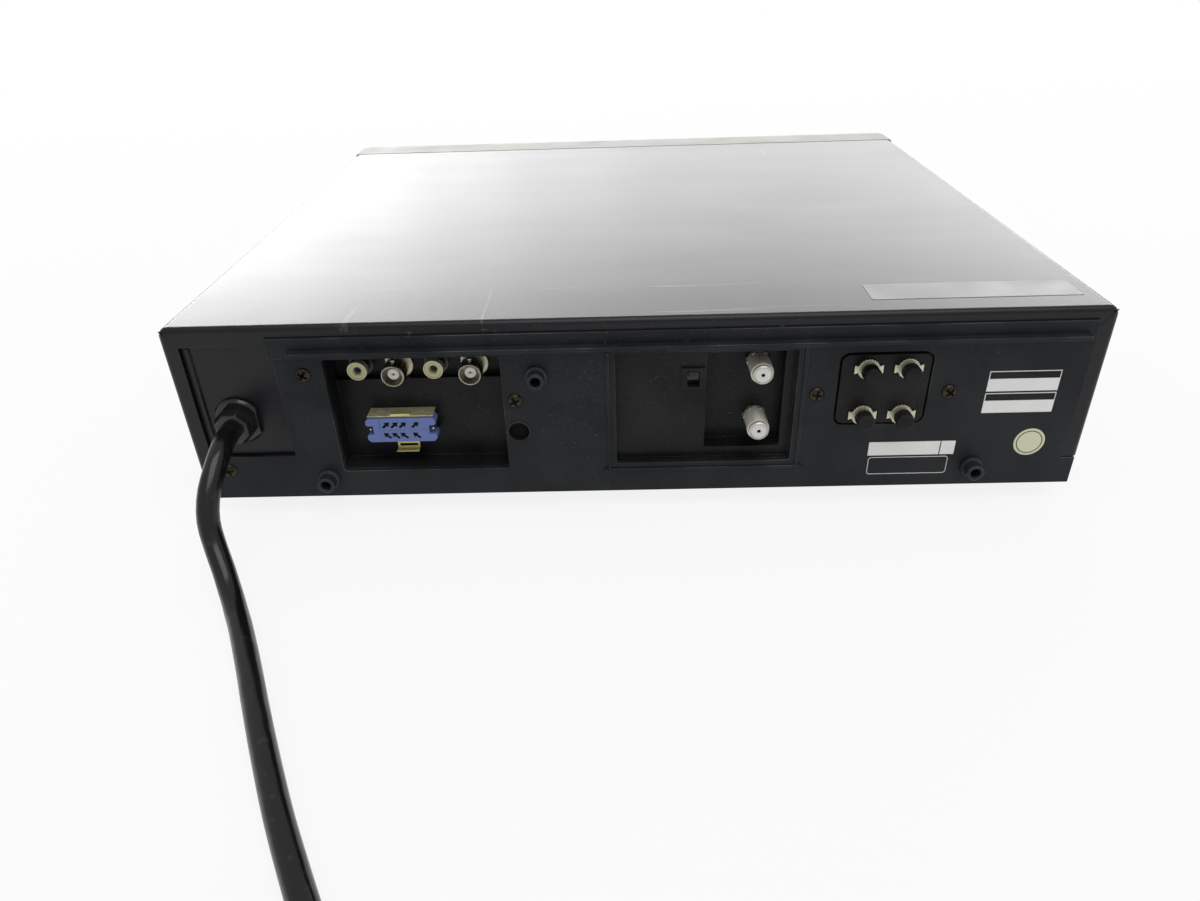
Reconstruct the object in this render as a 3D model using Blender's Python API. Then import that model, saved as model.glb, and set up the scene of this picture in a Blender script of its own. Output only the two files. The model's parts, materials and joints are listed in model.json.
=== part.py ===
"""A mains-powered video cassette recorder, modelled as its separate pieces.

Metres, +Z up. The origin is on the floor under the middle of the body, the rear panel faces +Y
and the front panel faces -Y. Heights of fittings are counted from the bottom of the chassis.
"""

import math

import bmesh
import bpy
from mathutils import Euler, Vector

# Driving sizes of the whole machine
cover_width = 0.380
foot_height = 0.008
bezel_depth = 0.0240
bezel_gap = 0.0011
button_stand = 0.0010
rear_reach = 0.0090

# Stock, clearances and the reach of a cutter past the face it cuts
sheet = 0.0010
plate = 0.0015
fit = 0.0003
slide_gap = 0.0005
overrun = 0.0040

# The tape cassette and its way in, back to the drum, set the depth of the machine
cassette_width = 0.188
cassette_height = 0.025
cassette_depth = 0.104
holder_room = 0.001
holder_front_room = 0.036
holder_length = cassette_depth + 2 * holder_room
carriage_travel = 0.062
drum_gap = 0.003
drum_radius = 0.031
deck_rear_room = 0.006
rear_bay_room = 0.0646
mechanism_depth = (
    holder_front_room + holder_length + carriage_travel + drum_gap + 2 * drum_radius + deck_rear_room
)
cover_depth = mechanism_depth + rear_bay_room - bezel_depth - bezel_gap

# The deck, the holder above it and the carriage over that set its height
deck_height = 0.024
deck_thickness = 0.0016
holder_drop = 0.018
holder_floor_gap = 0.0024
yoke_sheet = 0.0012
frame_room = 0.0015
holder_low = deck_height + deck_thickness + holder_drop + holder_floor_gap
holder_inner_height = cassette_height + 2 * holder_room
holder_high = holder_low + 2 * sheet + holder_inner_height
yoke_high = holder_high + fit + yoke_sheet
frame_high = yoke_high + slide_gap + plate
cover_height = frame_high + frame_room + sheet

# Planes that several pieces share
total_depth = rear_reach + cover_depth + bezel_gap + bezel_depth + button_stand
rear_y = total_depth / 2 - rear_reach
cover_front_y = rear_y - cover_depth
bezel_back_y = cover_front_y - bezel_gap
front_y = bezel_back_y - bezel_depth
chassis_z = foot_height
cover_top_z = chassis_z + cover_height
half_width = cover_width / 2
tape_inset = 0.135
tape_x = tape_inset - half_width

# Facets of round shapes
fine_steps = 36
round_steps = 20
small_steps = 12
arc_steps = 3
quarter = math.pi / 2
whole_turn = 2 * math.pi
smooth_below = math.radians(35)

# The rear panel's planes, and the cover's flange around it
chassis_side_gap = 0.0035
chassis_width = cover_width - 2 * chassis_side_gap
panel_stand = 0.0005
panel_back_y = rear_y - plate
panel_face_y = rear_y + panel_stand
cover_skirt = 0.013
cover_flange_side = 0.007
cover_flange_top = 0.0085


def up(height):
    """The world height of a place counted from the chassis bottom."""
    return chassis_z + height


def clear_scene():
    for old in list(bpy.data.objects):
        bpy.data.objects.remove(old, do_unlink=True)


def finish(name, colour, roughness, metallic):
    """A Principled material."""
    made = bpy.data.materials.new(name)
    made.use_nodes = True
    shader = made.node_tree.nodes["Principled BSDF"]
    shader.inputs["Base Color"].default_value = (*colour, 1)
    shader.inputs["Roughness"].default_value = roughness
    shader.inputs["Metallic"].default_value = metallic
    return made


def arc(x, y, radius, start, end, steps=arc_steps):
    """Points of an arc, its ends in quarter turns."""
    angles = [quarter * (start + (end - start) * step / steps) for step in range(steps + 1)]
    return [(x + radius * math.cos(a), y + radius * math.sin(a)) for a in angles]


def rounded(x0, y0, x1, y1, radius, steps=arc_steps):
    """A rectangle with round corners, as an outline."""
    points = arc(x1 - radius, y1 - radius, radius, 0, 1, steps)
    points += arc(x0 + radius, y1 - radius, radius, 1, 2, steps)
    points += arc(x0 + radius, y0 + radius, radius, 2, 3, steps)
    points += arc(x1 - radius, y0 + radius, radius, 3, 4, steps)
    return points


def ribbed(inner, outer, ribs, rib_share=0.5):
    """A round outline with ribs standing out of it."""
    points = []
    for rib in range(ribs):
        for radius, share in ((outer, 0), (outer, rib_share), (inner, rib_share), (inner, 1)):
            angle = whole_turn * (rib + share) / ribs
            points.append((radius * math.cos(angle), radius * math.sin(angle)))
    return points


def placed(axis, pair, along):
    """The point of a pair in the plane across an axis, at a distance along that axis."""
    a, b = pair
    return {"X": (along, a, b), "Y": (a, along, b), "Z": (a, b, along)}[axis]


def add_loft(mesh, rings):
    """A closed body through rings of as many points each, with flat ends."""
    rows = [[mesh.verts.new(point) for point in ring] for ring in rings]
    count = len(rows[0])
    for low, high in zip(rows, rows[1:]):
        for k in range(count):
            after = (k + 1) % count
            mesh.faces.new((low[k], low[after], high[after], high[k]))
    mesh.faces.new(rows[0][::-1])
    mesh.faces.new(rows[-1])


def add_prism(mesh, outline, axis, start, end):
    add_loft(mesh, [[placed(axis, pair, along) for pair in outline] for along in (start, end)])


def add_box(mesh, x0, x1, y0, y1, z0, z1):
    add_prism(mesh, [(x0, y0), (x1, y0), (x1, y1), (x0, y1)], "Z", z0, z1)


def add_turned(mesh, profile, steps, centre=(0, 0, 0), axis="Z"):
    """A body of revolution. The profile is (radius, along) from one end of the axis to the other."""
    rows = []
    for radius, along in profile:
        if radius == 0:
            ring = [placed(axis, (0, 0), along)]
        else:
            angles = [whole_turn * k / steps for k in range(steps)]
            ring = [placed(axis, (radius * math.cos(a), radius * math.sin(a)), along) for a in angles]
        rows.append([mesh.verts.new(Vector(point) + Vector(centre)) for point in ring])
    for low, high in zip(rows, rows[1:]):
        for k in range(steps):
            after = (k + 1) % steps
            corners = [low[k % len(low)], low[after % len(low)]]
            corners += [high[after % len(high)], high[k % len(high)]]
            mesh.faces.new(list(dict.fromkeys(corners)))
    for row in (rows[0], rows[-1]):
        if len(row) > 1:
            mesh.faces.new(row)


def add_rod(mesh, centre, axis, radius, start, end, steps=small_steps):
    """A plain round rod. The centre is the pair in the plane across the axis."""
    outline = arc(centre[0], centre[1], radius, 0, 4, steps)[:-1]
    add_prism(mesh, outline, axis, start, end)


def new_object(name, mesh, look=None, smooth=False, place=(0, 0, 0), turn=(0, 0, 0), parent=None):
    """An object from a bmesh, its faces turned outwards."""
    bmesh.ops.recalc_face_normals(mesh, faces=mesh.faces)
    data = bpy.data.meshes.new(name)
    mesh.to_mesh(data)
    mesh.free()
    made = bpy.data.objects.new(name, data)
    bpy.context.scene.collection.objects.link(made)
    made.location = place
    made.rotation_euler = turn
    if look:
        data.materials.append(look)
    if smooth:
        data.shade_smooth()
        data.set_sharp_from_angle(angle=smooth_below)
    if parent:
        made.parent = parent
        made.matrix_parent_inverse = parent.matrix_world.inverted()
    return made


def helper(name, mesh, place=(0, 0, 0), turn=(0, 0, 0)):
    """A body that only shapes another one."""
    made = new_object(name, mesh, place=place, turn=turn)
    made.hide_render = True
    made.display_type = "WIRE"
    return made


def shape_with(target, operation, other):
    step = target.modifiers.new(other.name, "BOOLEAN")
    step.operation = operation
    step.solver = "EXACT"
    step.use_self = True
    step.object = other


def cut(target, mesh, name="cut", place=(0, 0, 0), turn=(0, 0, 0)):
    shape_with(target, "DIFFERENCE", helper(target.name + "_" + name, mesh, place, turn))


def fuse(target, mesh, name="add", place=(0, 0, 0), turn=(0, 0, 0)):
    shape_with(target, "UNION", helper(target.name + "_" + name, mesh, place, turn))


def pivot(name, place, turn=(0, 0, 0)):
    """An empty on a joint's axis."""
    made = bpy.data.objects.new(name, None)
    made.location = place
    made.rotation_euler = turn
    bpy.context.scene.collection.objects.link(made)
    bpy.context.view_layer.update()
    return made


# Top cover: one folded sheet with a turned-in rear flange

cover_corner = 0.004
cover_roll = 0.0025


def cover_ring(inset, y, low_z):
    side = half_width - inset
    top = cover_top_z - inset
    radius = cover_corner - inset
    points = [(-side, low_z)]
    points += arc(-side + radius, top - radius, radius, 2, 1)
    points += arc(side - radius, top - radius, radius, 1, 0)
    points.append((side, low_z))
    return [(x, y, z) for x, z in points]


def add_cover_shape(mesh, inset, end_y, low_z):
    """The cover's outer form, or its inner form when inset, with the rear edge rolled over."""
    roll = cover_roll - inset
    rings = []
    for step in range(arc_steps + 1):
        angle = quarter * step / arc_steps
        drawn_in = inset + roll * (1 - math.sin(angle))
        rings.append(cover_ring(drawn_in, rear_y - inset - roll * (1 - math.cos(angle)), low_z))
    rings.append(cover_ring(inset, end_y, low_z))
    add_loft(mesh, rings)


def make_top_cover(look):
    low_z = up(cover_skirt)
    mesh = bmesh.new()
    add_cover_shape(mesh, 0, cover_front_y, low_z)
    cover = new_object("top_cover", mesh, look)
    mesh = bmesh.new()
    add_cover_shape(mesh, sheet, cover_front_y - overrun, low_z - overrun)
    cut(cover, mesh, "hollow")
    mesh = bmesh.new()
    side = half_width - cover_flange_side
    flange_z = cover_top_z - cover_flange_top
    add_box(mesh, -side, side, rear_y - sheet - overrun, rear_y + overrun, low_z - overrun, flange_z)
    cut(cover, mesh, "rear_opening")


# Bottom chassis: an open tray with vents, pillars and rails

chassis_front_y = bezel_back_y + fit
chassis_rear_y = panel_back_y - fit
chassis_wall = 0.0020
tray_height = 0.045
tray_end_height = 0.0095
rail_low = 0.016
rail_high = 0.018
vent_width = 0.003
vent_length = 0.034
vent_pitch = 0.0105
vent_count = 9
vent_rows = 2
vent_row_pitch = 0.060
vent_x = 0.020
board_height = 0.008
board_thickness = 0.0016
pillar_radius = 0.0035

holder_front_y = front_y + holder_front_room
holder_inner_half = cassette_width / 2 + holder_room
holder_outer_half = holder_inner_half + sheet
yoke_setback = 0.034
yoke_front_y = holder_front_y + yoke_setback
frame_lead = 0.006
frame_front_y = yoke_front_y - frame_lead
deck_lead = 0.004
deck_front_y = frame_front_y - deck_lead
deck_rear_y = front_y + mechanism_depth
deck_side_room = 0.009
deck_half = holder_outer_half + deck_side_room
deck_inset = 0.007
board_depth = 0.110
board_rear_room = 0.060
board_rear_y = rear_y - board_rear_room
board_front_y = board_rear_y - board_depth
board_left_room = 0.012
board_right_room = 0.085
board_left_x = board_left_room - half_width
board_right_x = half_width - board_right_room
board_inset = 0.006


def pillar_places(x0, x1, y0, y1, inset):
    """The four corners of a plate, drawn in."""
    return [(x, y) for x in (x0 + inset, x1 - inset) for y in (y0 + inset, y1 - inset)]


def deck_pillars():
    return pillar_places(tape_x - deck_half, tape_x + deck_half, deck_front_y, deck_rear_y, deck_inset)


def board_pillars():
    return pillar_places(board_left_x, board_right_x, board_front_y, board_rear_y, board_inset)


def make_bottom_chassis(look):
    side = chassis_width / 2
    floor_z = chassis_z + chassis_wall
    mesh = bmesh.new()
    add_box(mesh, -side, side, chassis_front_y, chassis_rear_y, chassis_z, up(tray_height))
    tray = new_object("bottom_chassis", mesh, look)
    mesh = bmesh.new()
    inner = side - chassis_wall
    front = chassis_front_y + chassis_wall
    rear = chassis_rear_y - chassis_wall
    add_box(mesh, -inner, inner, front, rear, floor_z, up(tray_height) + overrun)
    cut(tray, mesh, "hollow")
    mesh = bmesh.new()
    low = up(tray_end_height)
    high = up(tray_height) + overrun
    past = side + overrun
    add_box(mesh, -past, past, chassis_rear_y - chassis_wall, chassis_rear_y + overrun, low, high)
    add_box(mesh, -past, past, chassis_front_y - overrun, front, low, high)
    cut(tray, mesh, "low_ends")
    mesh = bmesh.new()
    for row in range(vent_rows):
        for slot in range(vent_count):
            x = vent_x + vent_pitch * slot
            y = chassis_front_y + vent_row_pitch * (row + 1)
            add_box(mesh, x, x + vent_width, y, y + vent_length, chassis_z - overrun, floor_z + overrun)
    cut(tray, mesh, "vents")
    mesh = bmesh.new()
    sunk = chassis_z + chassis_wall / 2
    for x, y in deck_pillars():
        add_rod(mesh, (x, y), "Z", pillar_radius, sunk, up(deck_height) - fit)
    for x, y in board_pillars():
        add_rod(mesh, (x, y), "Z", pillar_radius, sunk, up(board_height) - fit)
    fuse(tray, mesh, "pillars")
    mesh = bmesh.new()
    rail_out = half_width - sheet - fit
    for sign in (-1, 1):
        x0, x1 = sorted((sign * (side - chassis_wall / 2), sign * rail_out))
        add_box(mesh, x0, x1, front, rear - chassis_wall, up(rail_low), up(rail_high))
    fuse(tray, mesh, "rails")


# Feet

foot_radius = 0.011
foot_taper = 0.001
foot_inset_x = 0.040
foot_inset_y = 0.034


def make_feet(look):
    reach_x = chassis_width / 2 - foot_inset_x
    places_y = (("front", chassis_front_y + foot_inset_y), ("rear", chassis_rear_y - foot_inset_y))
    for across, sign_x in (("right", 1), ("left", -1)):
        for along, y in places_y:
            mesh = bmesh.new()
            profile = [
                (0, 0),
                (foot_radius - 2 * foot_taper, 0),
                (foot_radius - foot_taper, foot_taper),
                (foot_radius, foot_height - fit - foot_taper),
                (foot_radius, foot_height - fit),
                (0, foot_height - fit),
            ]
            add_turned(mesh, profile, round_steps)
            new_object(f"{along}_{across}_foot", mesh, look, True, (sign_x * reach_x, y, 0))


# Rear panel: openings, top strip, lip, bead and posts

panel_top = cover_height - cover_flange_top - fit
recess_inset = 0.044
recess_inner_x = half_width - recess_inset
recess_low = 0.0211
strip_inset = 0.0426
strip_left_x = half_width - strip_inset
strip_drop = 0.005
strip_width = 0.009
strip_high = cover_height - strip_drop
strip_low = strip_high - strip_width
strip_stand = 0.0013
lip_left_inset = 0.0513
lip_right_inset = 0.0104
lip_left_x = half_width - lip_left_inset
lip_right_x = lip_right_inset - half_width
lip_drop = 0.0051
lip_thickness = 0.0015
lip_high = strip_high - lip_drop
lip_low = lip_high - lip_thickness
lip_reach = 0.0055
corner_radius = 0.0012

# The columns of the rear panel share out the width that they leave between them
bay_width = 0.072
pan_width = 0.074
terminal_width = 0.0376
column_gap_shares = (0.131, 0.307, 0.109)
columns_room = cover_width - recess_inset - bay_width - pan_width - terminal_width
bay_left_x = recess_inner_x - column_gap_shares[0] * columns_room
bay_right_x = bay_left_x - bay_width
pan_left_x = bay_right_x - column_gap_shares[1] * columns_room
pan_right_x = pan_left_x - pan_width
terminal_left_x = pan_right_x - column_gap_shares[2] * columns_room
terminal_right_x = terminal_left_x - terminal_width

opening_drop = 0.015
bay_low = 0.013
bay_high = cover_height - opening_drop
pan_low = 0.0143
pan_high = cover_height - opening_drop
bead_gap = 0.0024
bead_width = 0.0014
bead_stand = 0.0008
bead_knob = 0.0018

terminal_low = 0.031
terminal_height = 0.033
terminal_high = terminal_low + terminal_height
terminal_corner = 0.004

access_gap = 0.0056
access_height = 0.0310
access_radius = 0.00435
access_rim = 0.0012
access_depth = 0.0012
upper_post_gap = 0.0146
upper_post_height = 0.0570
cord_post_gap = 0.0128
far_post_gap = 0.0240
low_post_height = 0.0096
post_base_radius = 0.0046
post_radius = 0.00365
post_bore = 0.00215
post_base = 0.0020
post_length = 0.0068
post_chamfer = 0.0004


def post_places():
    """Three stand-off posts: beside the bay, below the cord's recess and past the terminals."""
    return (
        (bay_right_x - upper_post_gap, upper_post_height),
        (recess_inner_x - cord_post_gap, low_post_height),
        (terminal_right_x - far_post_gap, low_post_height),
    )


def panel_outline():
    """The plate seen from behind: a foot as wide as the chassis, and a notch round the cord."""
    wide = chassis_width / 2
    side = half_width - cover_flange_side - fit
    foot_top = up(cover_skirt - fit)
    top = up(panel_top)
    notch = up(recess_low)
    points = [(-wide, chassis_z), (wide, chassis_z), (wide, foot_top), (side, foot_top), (side, notch)]
    points += [(recess_inner_x, notch), (recess_inner_x, top), (-side, top), (-side, foot_top)]
    points.append((-wide, foot_top))
    return points


def make_rear_panel(look):
    mesh = bmesh.new()
    add_prism(mesh, panel_outline(), "Y", panel_back_y, panel_face_y)
    panel = new_object("rear_panel", mesh, look)

    mesh = bmesh.new()
    side = half_width - cover_flange_side - fit
    strip_y = rear_y + fit
    add_box(mesh, -side, strip_left_x, strip_y, rear_y + strip_stand, up(strip_low), up(strip_high))
    fuse(panel, mesh, "strip")
    mesh = bmesh.new()
    lip = rounded(lip_right_x, rear_y, lip_left_x, rear_y + lip_reach, corner_radius)
    add_prism(mesh, lip, "Z", up(lip_low), up(lip_high))
    fuse(panel, mesh, "lip")

    mesh = bmesh.new()
    out = bead_gap + bead_width
    bead = [
        (pan_left_x + out, up(strip_low)),
        (pan_left_x + out, up(pan_low) - out),
        (pan_right_x - out, up(pan_low) - out),
        (pan_right_x - out, up(strip_low)),
        (pan_right_x - bead_gap, up(strip_low)),
        (pan_right_x - bead_gap, up(pan_low) - bead_gap),
        (pan_left_x + bead_gap, up(pan_low) - bead_gap),
        (pan_left_x + bead_gap, up(strip_low)),
    ]
    add_prism(mesh, bead, "Y", rear_y, panel_face_y + bead_stand)
    fuse(panel, mesh, "bead")
    mesh = bmesh.new()
    for x in (pan_left_x + out, pan_right_x - out):
        centre = (x, up(pan_low) - out)
        add_rod(mesh, centre, "Y", bead_knob, rear_y, panel_face_y + 2 * bead_stand)
    fuse(panel, mesh, "bead_ends")

    mesh = bmesh.new()
    shapes = [
        rounded(bay_right_x, up(bay_low), bay_left_x, up(bay_high), corner_radius),
        rounded(pan_right_x, up(pan_low), pan_left_x, up(pan_high), corner_radius),
        rounded(terminal_right_x, up(terminal_low), terminal_left_x, up(terminal_high), terminal_corner),
    ]
    for outline in shapes:
        add_prism(mesh, outline, "Y", panel_back_y - overrun, panel_face_y + overrun)
    cut(panel, mesh, "openings")

    mesh = bmesh.new()
    for x, height in post_places():
        profile = [
            (0, rear_y),
            (post_base_radius, rear_y),
            (post_base_radius, panel_face_y + post_base),
            (post_radius, panel_face_y + post_base),
            (post_radius, panel_face_y + post_length - post_chamfer),
            (post_radius - post_chamfer, panel_face_y + post_length),
            (0, panel_face_y + post_length),
        ]
        add_turned(mesh, profile, small_steps, (x, 0, up(height)), "Y")
    hole = (bay_right_x - access_gap, up(access_height))
    rim = access_radius + access_rim
    add_rod(mesh, hole, "Y", rim, rear_y, panel_face_y + bead_stand, round_steps)
    fuse(panel, mesh, "posts")
    mesh = bmesh.new()
    for x, height in post_places():
        add_rod(mesh, (x, up(height)), "Y", post_bore, panel_face_y, panel_face_y + post_length + overrun)
    depth = rear_y - access_depth
    end = panel_face_y + overrun
    add_rod(mesh, hole, "Y", access_radius, depth, end, round_steps)
    cut(panel, mesh, "bores")


# Cord entry: a sunk steel plate, the snap-in gland

inlet_lap = 0.006
inlet_side_gap = 0.004
inlet_inner_x = recess_inner_x - inlet_lap
inlet_outer_x = half_width - inlet_side_gap
inlet_low = 0.015
inlet_top_gap = 0.007
inlet_high = cover_height - inlet_top_gap
inlet_rail_inset = 0.0096
inlet_rail_x = half_width - inlet_rail_inset
inlet_rail_width = 0.0014
inlet_rail_stand = 0.0009
inlet_rail_low = 0.0259
inlet_rail_high = cover_height - inlet_rail_inset
inlet_face_y = panel_back_y - fit
cord_diameter = 0.0086
gland_inset = 0.0232
gland_x = half_width - gland_inset
gland_height = 0.0385
gland_neck = 0.0078
gland_flange = 0.0104
gland_flange_depth = 0.0022
gland_flat = 0.0086
gland_body = 0.0084
gland_reach = 0.0080
gland_chamfer = 0.0010
gland_tail = 0.0130
gland_tail_radius = 0.0056


def make_power_inlet_plate(look):
    mesh = bmesh.new()
    inlet_back_y = inlet_face_y - plate
    add_box(mesh, inlet_inner_x, inlet_outer_x, inlet_back_y, inlet_face_y, up(inlet_low), up(inlet_high))
    entry = new_object("power_inlet_plate", mesh, look)
    mesh = bmesh.new()
    half = inlet_rail_width / 2
    rail_low_z, rail_high_z = up(inlet_rail_low), up(inlet_rail_high)
    middle = inlet_face_y - plate / 2
    face = inlet_face_y + inlet_rail_stand
    add_box(mesh, inlet_rail_x - half, inlet_rail_x + half, middle, face, rail_low_z, rail_high_z)
    fuse(entry, mesh, "rail")
    mesh = bmesh.new()
    centre = (gland_x, up(gland_height))
    start, end = inlet_back_y - overrun, inlet_face_y + overrun
    add_rod(mesh, centre, "Y", gland_neck + fit, start, end, round_steps)
    cut(entry, mesh, "hole")


def make_cord_gland(look):
    """Round flange with side flats, a blunt nose outside and a tapered, split tail inside."""
    centre = (gland_x, 0, up(gland_height))
    seat = inlet_face_y + fit
    back = inlet_face_y - plate - fit
    nose = rear_y + gland_reach
    profile = [
        (0, back - gland_tail),
        (gland_tail_radius, back - gland_tail),
        (gland_neck, back - gland_chamfer),
        (gland_neck, seat),
        (gland_flange, seat),
        (gland_flange, seat + gland_flange_depth - gland_chamfer),
        (gland_flange - gland_chamfer, seat + gland_flange_depth),
        (gland_body, seat + gland_flange_depth),
        (gland_body, nose - gland_chamfer),
        (gland_body - gland_chamfer, nose),
        (0, nose),
    ]
    mesh = bmesh.new()
    add_turned(mesh, profile, round_steps, centre, "Y")
    gland = new_object("cord_gland", mesh, look, True)
    mesh = bmesh.new()
    for sign in (-1, 1):
        x0, x1 = sorted((gland_x + sign * gland_flat, gland_x + sign * (gland_flange + overrun)))
        z0, z1 = up(gland_height) - gland_flange - overrun, up(gland_height) + gland_flange + overrun
        add_box(mesh, x0, x1, seat - slide_gap, nose + overrun, z0, z1)
    cut(gland, mesh, "flats")
    mesh = bmesh.new()
    half = gland_chamfer / 2
    z0, z1 = up(gland_height) - gland_neck, up(gland_height) + gland_neck
    start, end = back - gland_tail - overrun, back - gland_chamfer
    add_box(mesh, gland_x - half, gland_x + half, start, end, z0, z1)
    cut(gland, mesh, "split")


# Jack panel: a stepped tray behind the bay, with its jacks

bay_depth = 0.0120
bay_deep = 0.0160
bay_step_drop = 0.0150
bay_step = bay_high - bay_step_drop
phono_drop = 0.0090
phono_insets = (0.0110, 0.0430)
bayonet_drop = 0.0097
bayonet_insets = (0.0267, 0.0588)
phono_places = [(bay_left_x - inset, bay_high - phono_drop) for inset in phono_insets]
bayonet_places = [(bay_left_x - inset, bay_high - bayonet_drop) for inset in bayonet_insets]
phono_radius = 0.00415
phono_nut = 0.0052
phono_neck = 0.0030
phono_reach = 0.0085
phono_cup = 0.0034
phono_bore = 0.0016
bayonet_radius = 0.00485
bayonet_flange = 0.0063
bayonet_neck = 0.0045
bayonet_reach = 0.0128
bayonet_bore = 0.0041
bayonet_core = 0.0023
bayonet_pin_bore = 0.0007
bayonet_depth = 0.0075
bayonet_lug = 0.0009
bayonet_lug_stand = 0.0008
bayonet_lug_back = 0.0022
jack_flange = 0.0012
jack_chamfer = 0.0004
jack_tail = 0.0020

connector_width = 0.0300
connector_height = 0.0113
connector_gap = 0.0117
connector_left_x = bay_left_x - connector_gap
connector_right_x = connector_left_x - connector_width
connector_low = 0.0252
connector_high = connector_low + connector_height
connector_face = 0.0030
connector_front = 0.0062
connector_inset = 0.0018
connector_notch = 0.0030
connector_notch_height = 0.0042
connector_pin_room = 0.0011
slot_width = 0.0008
slot_length = 0.0027
slot_depth = 0.0030
slot_pitch = 0.0036
slot_shares = (0, 1, 2, 3.5)
slot_row_share = 0.5
slot_tilt = math.radians(35)
latch_sheet = 0.0006
latch_side = 0.0020
latch_tab_width = 0.0099
latch_tab_drop = 0.0077
latch_tab_reach = 0.0040
latch_ridge_width = 0.0095
latch_ridge = 0.0012


def make_jack_panel(look):
    left, right = bay_left_x, bay_right_x
    mesh = bmesh.new()
    low, high = up(bay_low) - plate, up(bay_high) + plate
    add_box(mesh, right - plate, left + plate, rear_y - bay_deep - plate, panel_back_y - fit, low, high)
    tray = new_object("jack_panel", mesh, look)
    mesh = bmesh.new()
    section = [
        (panel_back_y + overrun, up(bay_low)),
        (panel_back_y + overrun, up(bay_high)),
        (rear_y - bay_deep, up(bay_high)),
        (rear_y - bay_deep, up(bay_step)),
        (rear_y - bay_depth, up(bay_step)),
        (rear_y - bay_depth, up(bay_low)),
    ]
    add_prism(mesh, section, "X", right, left)
    cut(tray, mesh, "bay")
    mesh = bmesh.new()
    section = [
        (rear_y - bay_deep - plate - overrun, up(bay_low) - overrun),
        (rear_y - bay_deep - plate - overrun, up(bay_step) - plate),
        (rear_y - bay_depth - plate, up(bay_step) - plate),
        (rear_y - bay_depth - plate, up(bay_low) - overrun),
    ]
    add_prism(mesh, section, "X", right - overrun, left + overrun)
    cut(tray, mesh, "back_step")
    mesh = bmesh.new()
    start, end = rear_y - bay_deep - plate - overrun, rear_y - bay_deep + overrun
    for x, height in phono_places:
        add_rod(mesh, (x, up(height)), "Y", phono_neck + fit, start, end)
    for x, height in bayonet_places:
        add_rod(mesh, (x, up(height)), "Y", bayonet_neck + fit, start, end)
    start, end = rear_y - bay_depth - plate - overrun, rear_y - bay_depth + overrun
    narrow = connector_inset - fit
    x0, x1 = connector_right_x + narrow, connector_left_x - narrow
    add_box(mesh, x0, x1, start, end, up(connector_low) + narrow, up(connector_high) - narrow)
    cut(tray, mesh, "jack_holes")
    mesh = bmesh.new()
    start, end = rear_y - bay_deep, rear_y - bay_deep + jack_flange + 2 * fit
    for x, height in bayonet_places:
        add_rod(mesh, (x, up(height)), "Y", bayonet_flange + fit, start, end, round_steps)
    cut(tray, mesh, "flange_seats")


def make_phono_jacks(look):
    seat = rear_y - bay_deep + fit
    tip = seat + phono_reach
    for number, (x, height) in enumerate(phono_places, 1):
        profile = [
            (0, seat - fit - plate - jack_tail),
            (phono_neck, seat - fit - plate - jack_tail),
            (phono_neck, seat),
            (phono_nut, seat),
            (phono_nut, seat + jack_flange),
            (phono_radius, seat + jack_flange),
            (phono_radius, tip - jack_chamfer),
            (phono_radius - jack_chamfer, tip),
            (phono_cup, tip),
            (phono_cup - jack_chamfer, tip - jack_chamfer),
            (phono_bore, tip - jack_chamfer),
            (phono_bore, seat + jack_flange),
            (0, seat + jack_flange),
        ]
        mesh = bmesh.new()
        add_turned(mesh, profile, small_steps, (x, 0, up(height)), "Y")
        new_object(f"phono_jack_{number}", mesh, look, True)


def make_bayonet_jacks(look):
    """Barrel with a dielectric core standing in its bore, and two locking lugs."""
    seat = rear_y - bay_deep + fit
    tip = seat + bayonet_reach
    for number, (x, height) in enumerate(bayonet_places, 1):
        profile = [
            (0, seat - fit - plate - jack_tail),
            (bayonet_neck, seat - fit - plate - jack_tail),
            (bayonet_neck, seat),
            (bayonet_flange, seat),
            (bayonet_flange, seat + jack_flange),
            (bayonet_radius, seat + jack_flange),
            (bayonet_radius, tip - jack_chamfer),
            (bayonet_radius - jack_chamfer, tip),
            (bayonet_bore, tip),
            (bayonet_bore, tip - bayonet_depth),
            (bayonet_core, tip - bayonet_depth),
            (bayonet_core, tip - 2 * jack_chamfer),
            (bayonet_pin_bore, tip - 2 * jack_chamfer),
            (bayonet_pin_bore, tip - bayonet_depth),
            (0, tip - bayonet_depth),
        ]
        mesh = bmesh.new()
        add_turned(mesh, profile, round_steps, (x, 0, up(height)), "Y")
        jack = new_object(f"bayonet_jack_{number}", mesh, look, True)
        mesh = bmesh.new()
        middle = (bayonet_radius + bayonet_bore) / 2
        for sign in (-1, 1):
            start, end = sorted((x + sign * middle, x + sign * (bayonet_radius + bayonet_lug_stand)))
            add_rod(mesh, (tip - bayonet_lug_back, up(height)), "X", bayonet_lug, start, end)
        fuse(jack, mesh, "lugs")


def connector_outline(inset):
    """The face with a notch in the middle of each side."""
    left, right = connector_left_x - inset, connector_right_x + inset
    low, high = up(connector_low) + inset, up(connector_high) - inset
    middle = (low + high) / 2
    notch_low, notch_high = middle - connector_notch_height / 2, middle + connector_notch_height / 2
    depth = connector_notch
    clipped = connector_pin_room
    return [
        (right + clipped, low),
        (left - clipped, low),
        (left, low + clipped),
        (left, notch_low),
        (left - depth, notch_low),
        (left - depth, notch_high),
        (left, notch_high),
        (left, high - clipped),
        (left - clipped, high),
        (right + clipped, high),
        (right, high - clipped),
        (right, notch_high),
        (right + depth, notch_high),
        (right + depth, notch_low),
        (right, notch_low),
        (right, low + clipped),
    ]


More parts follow.
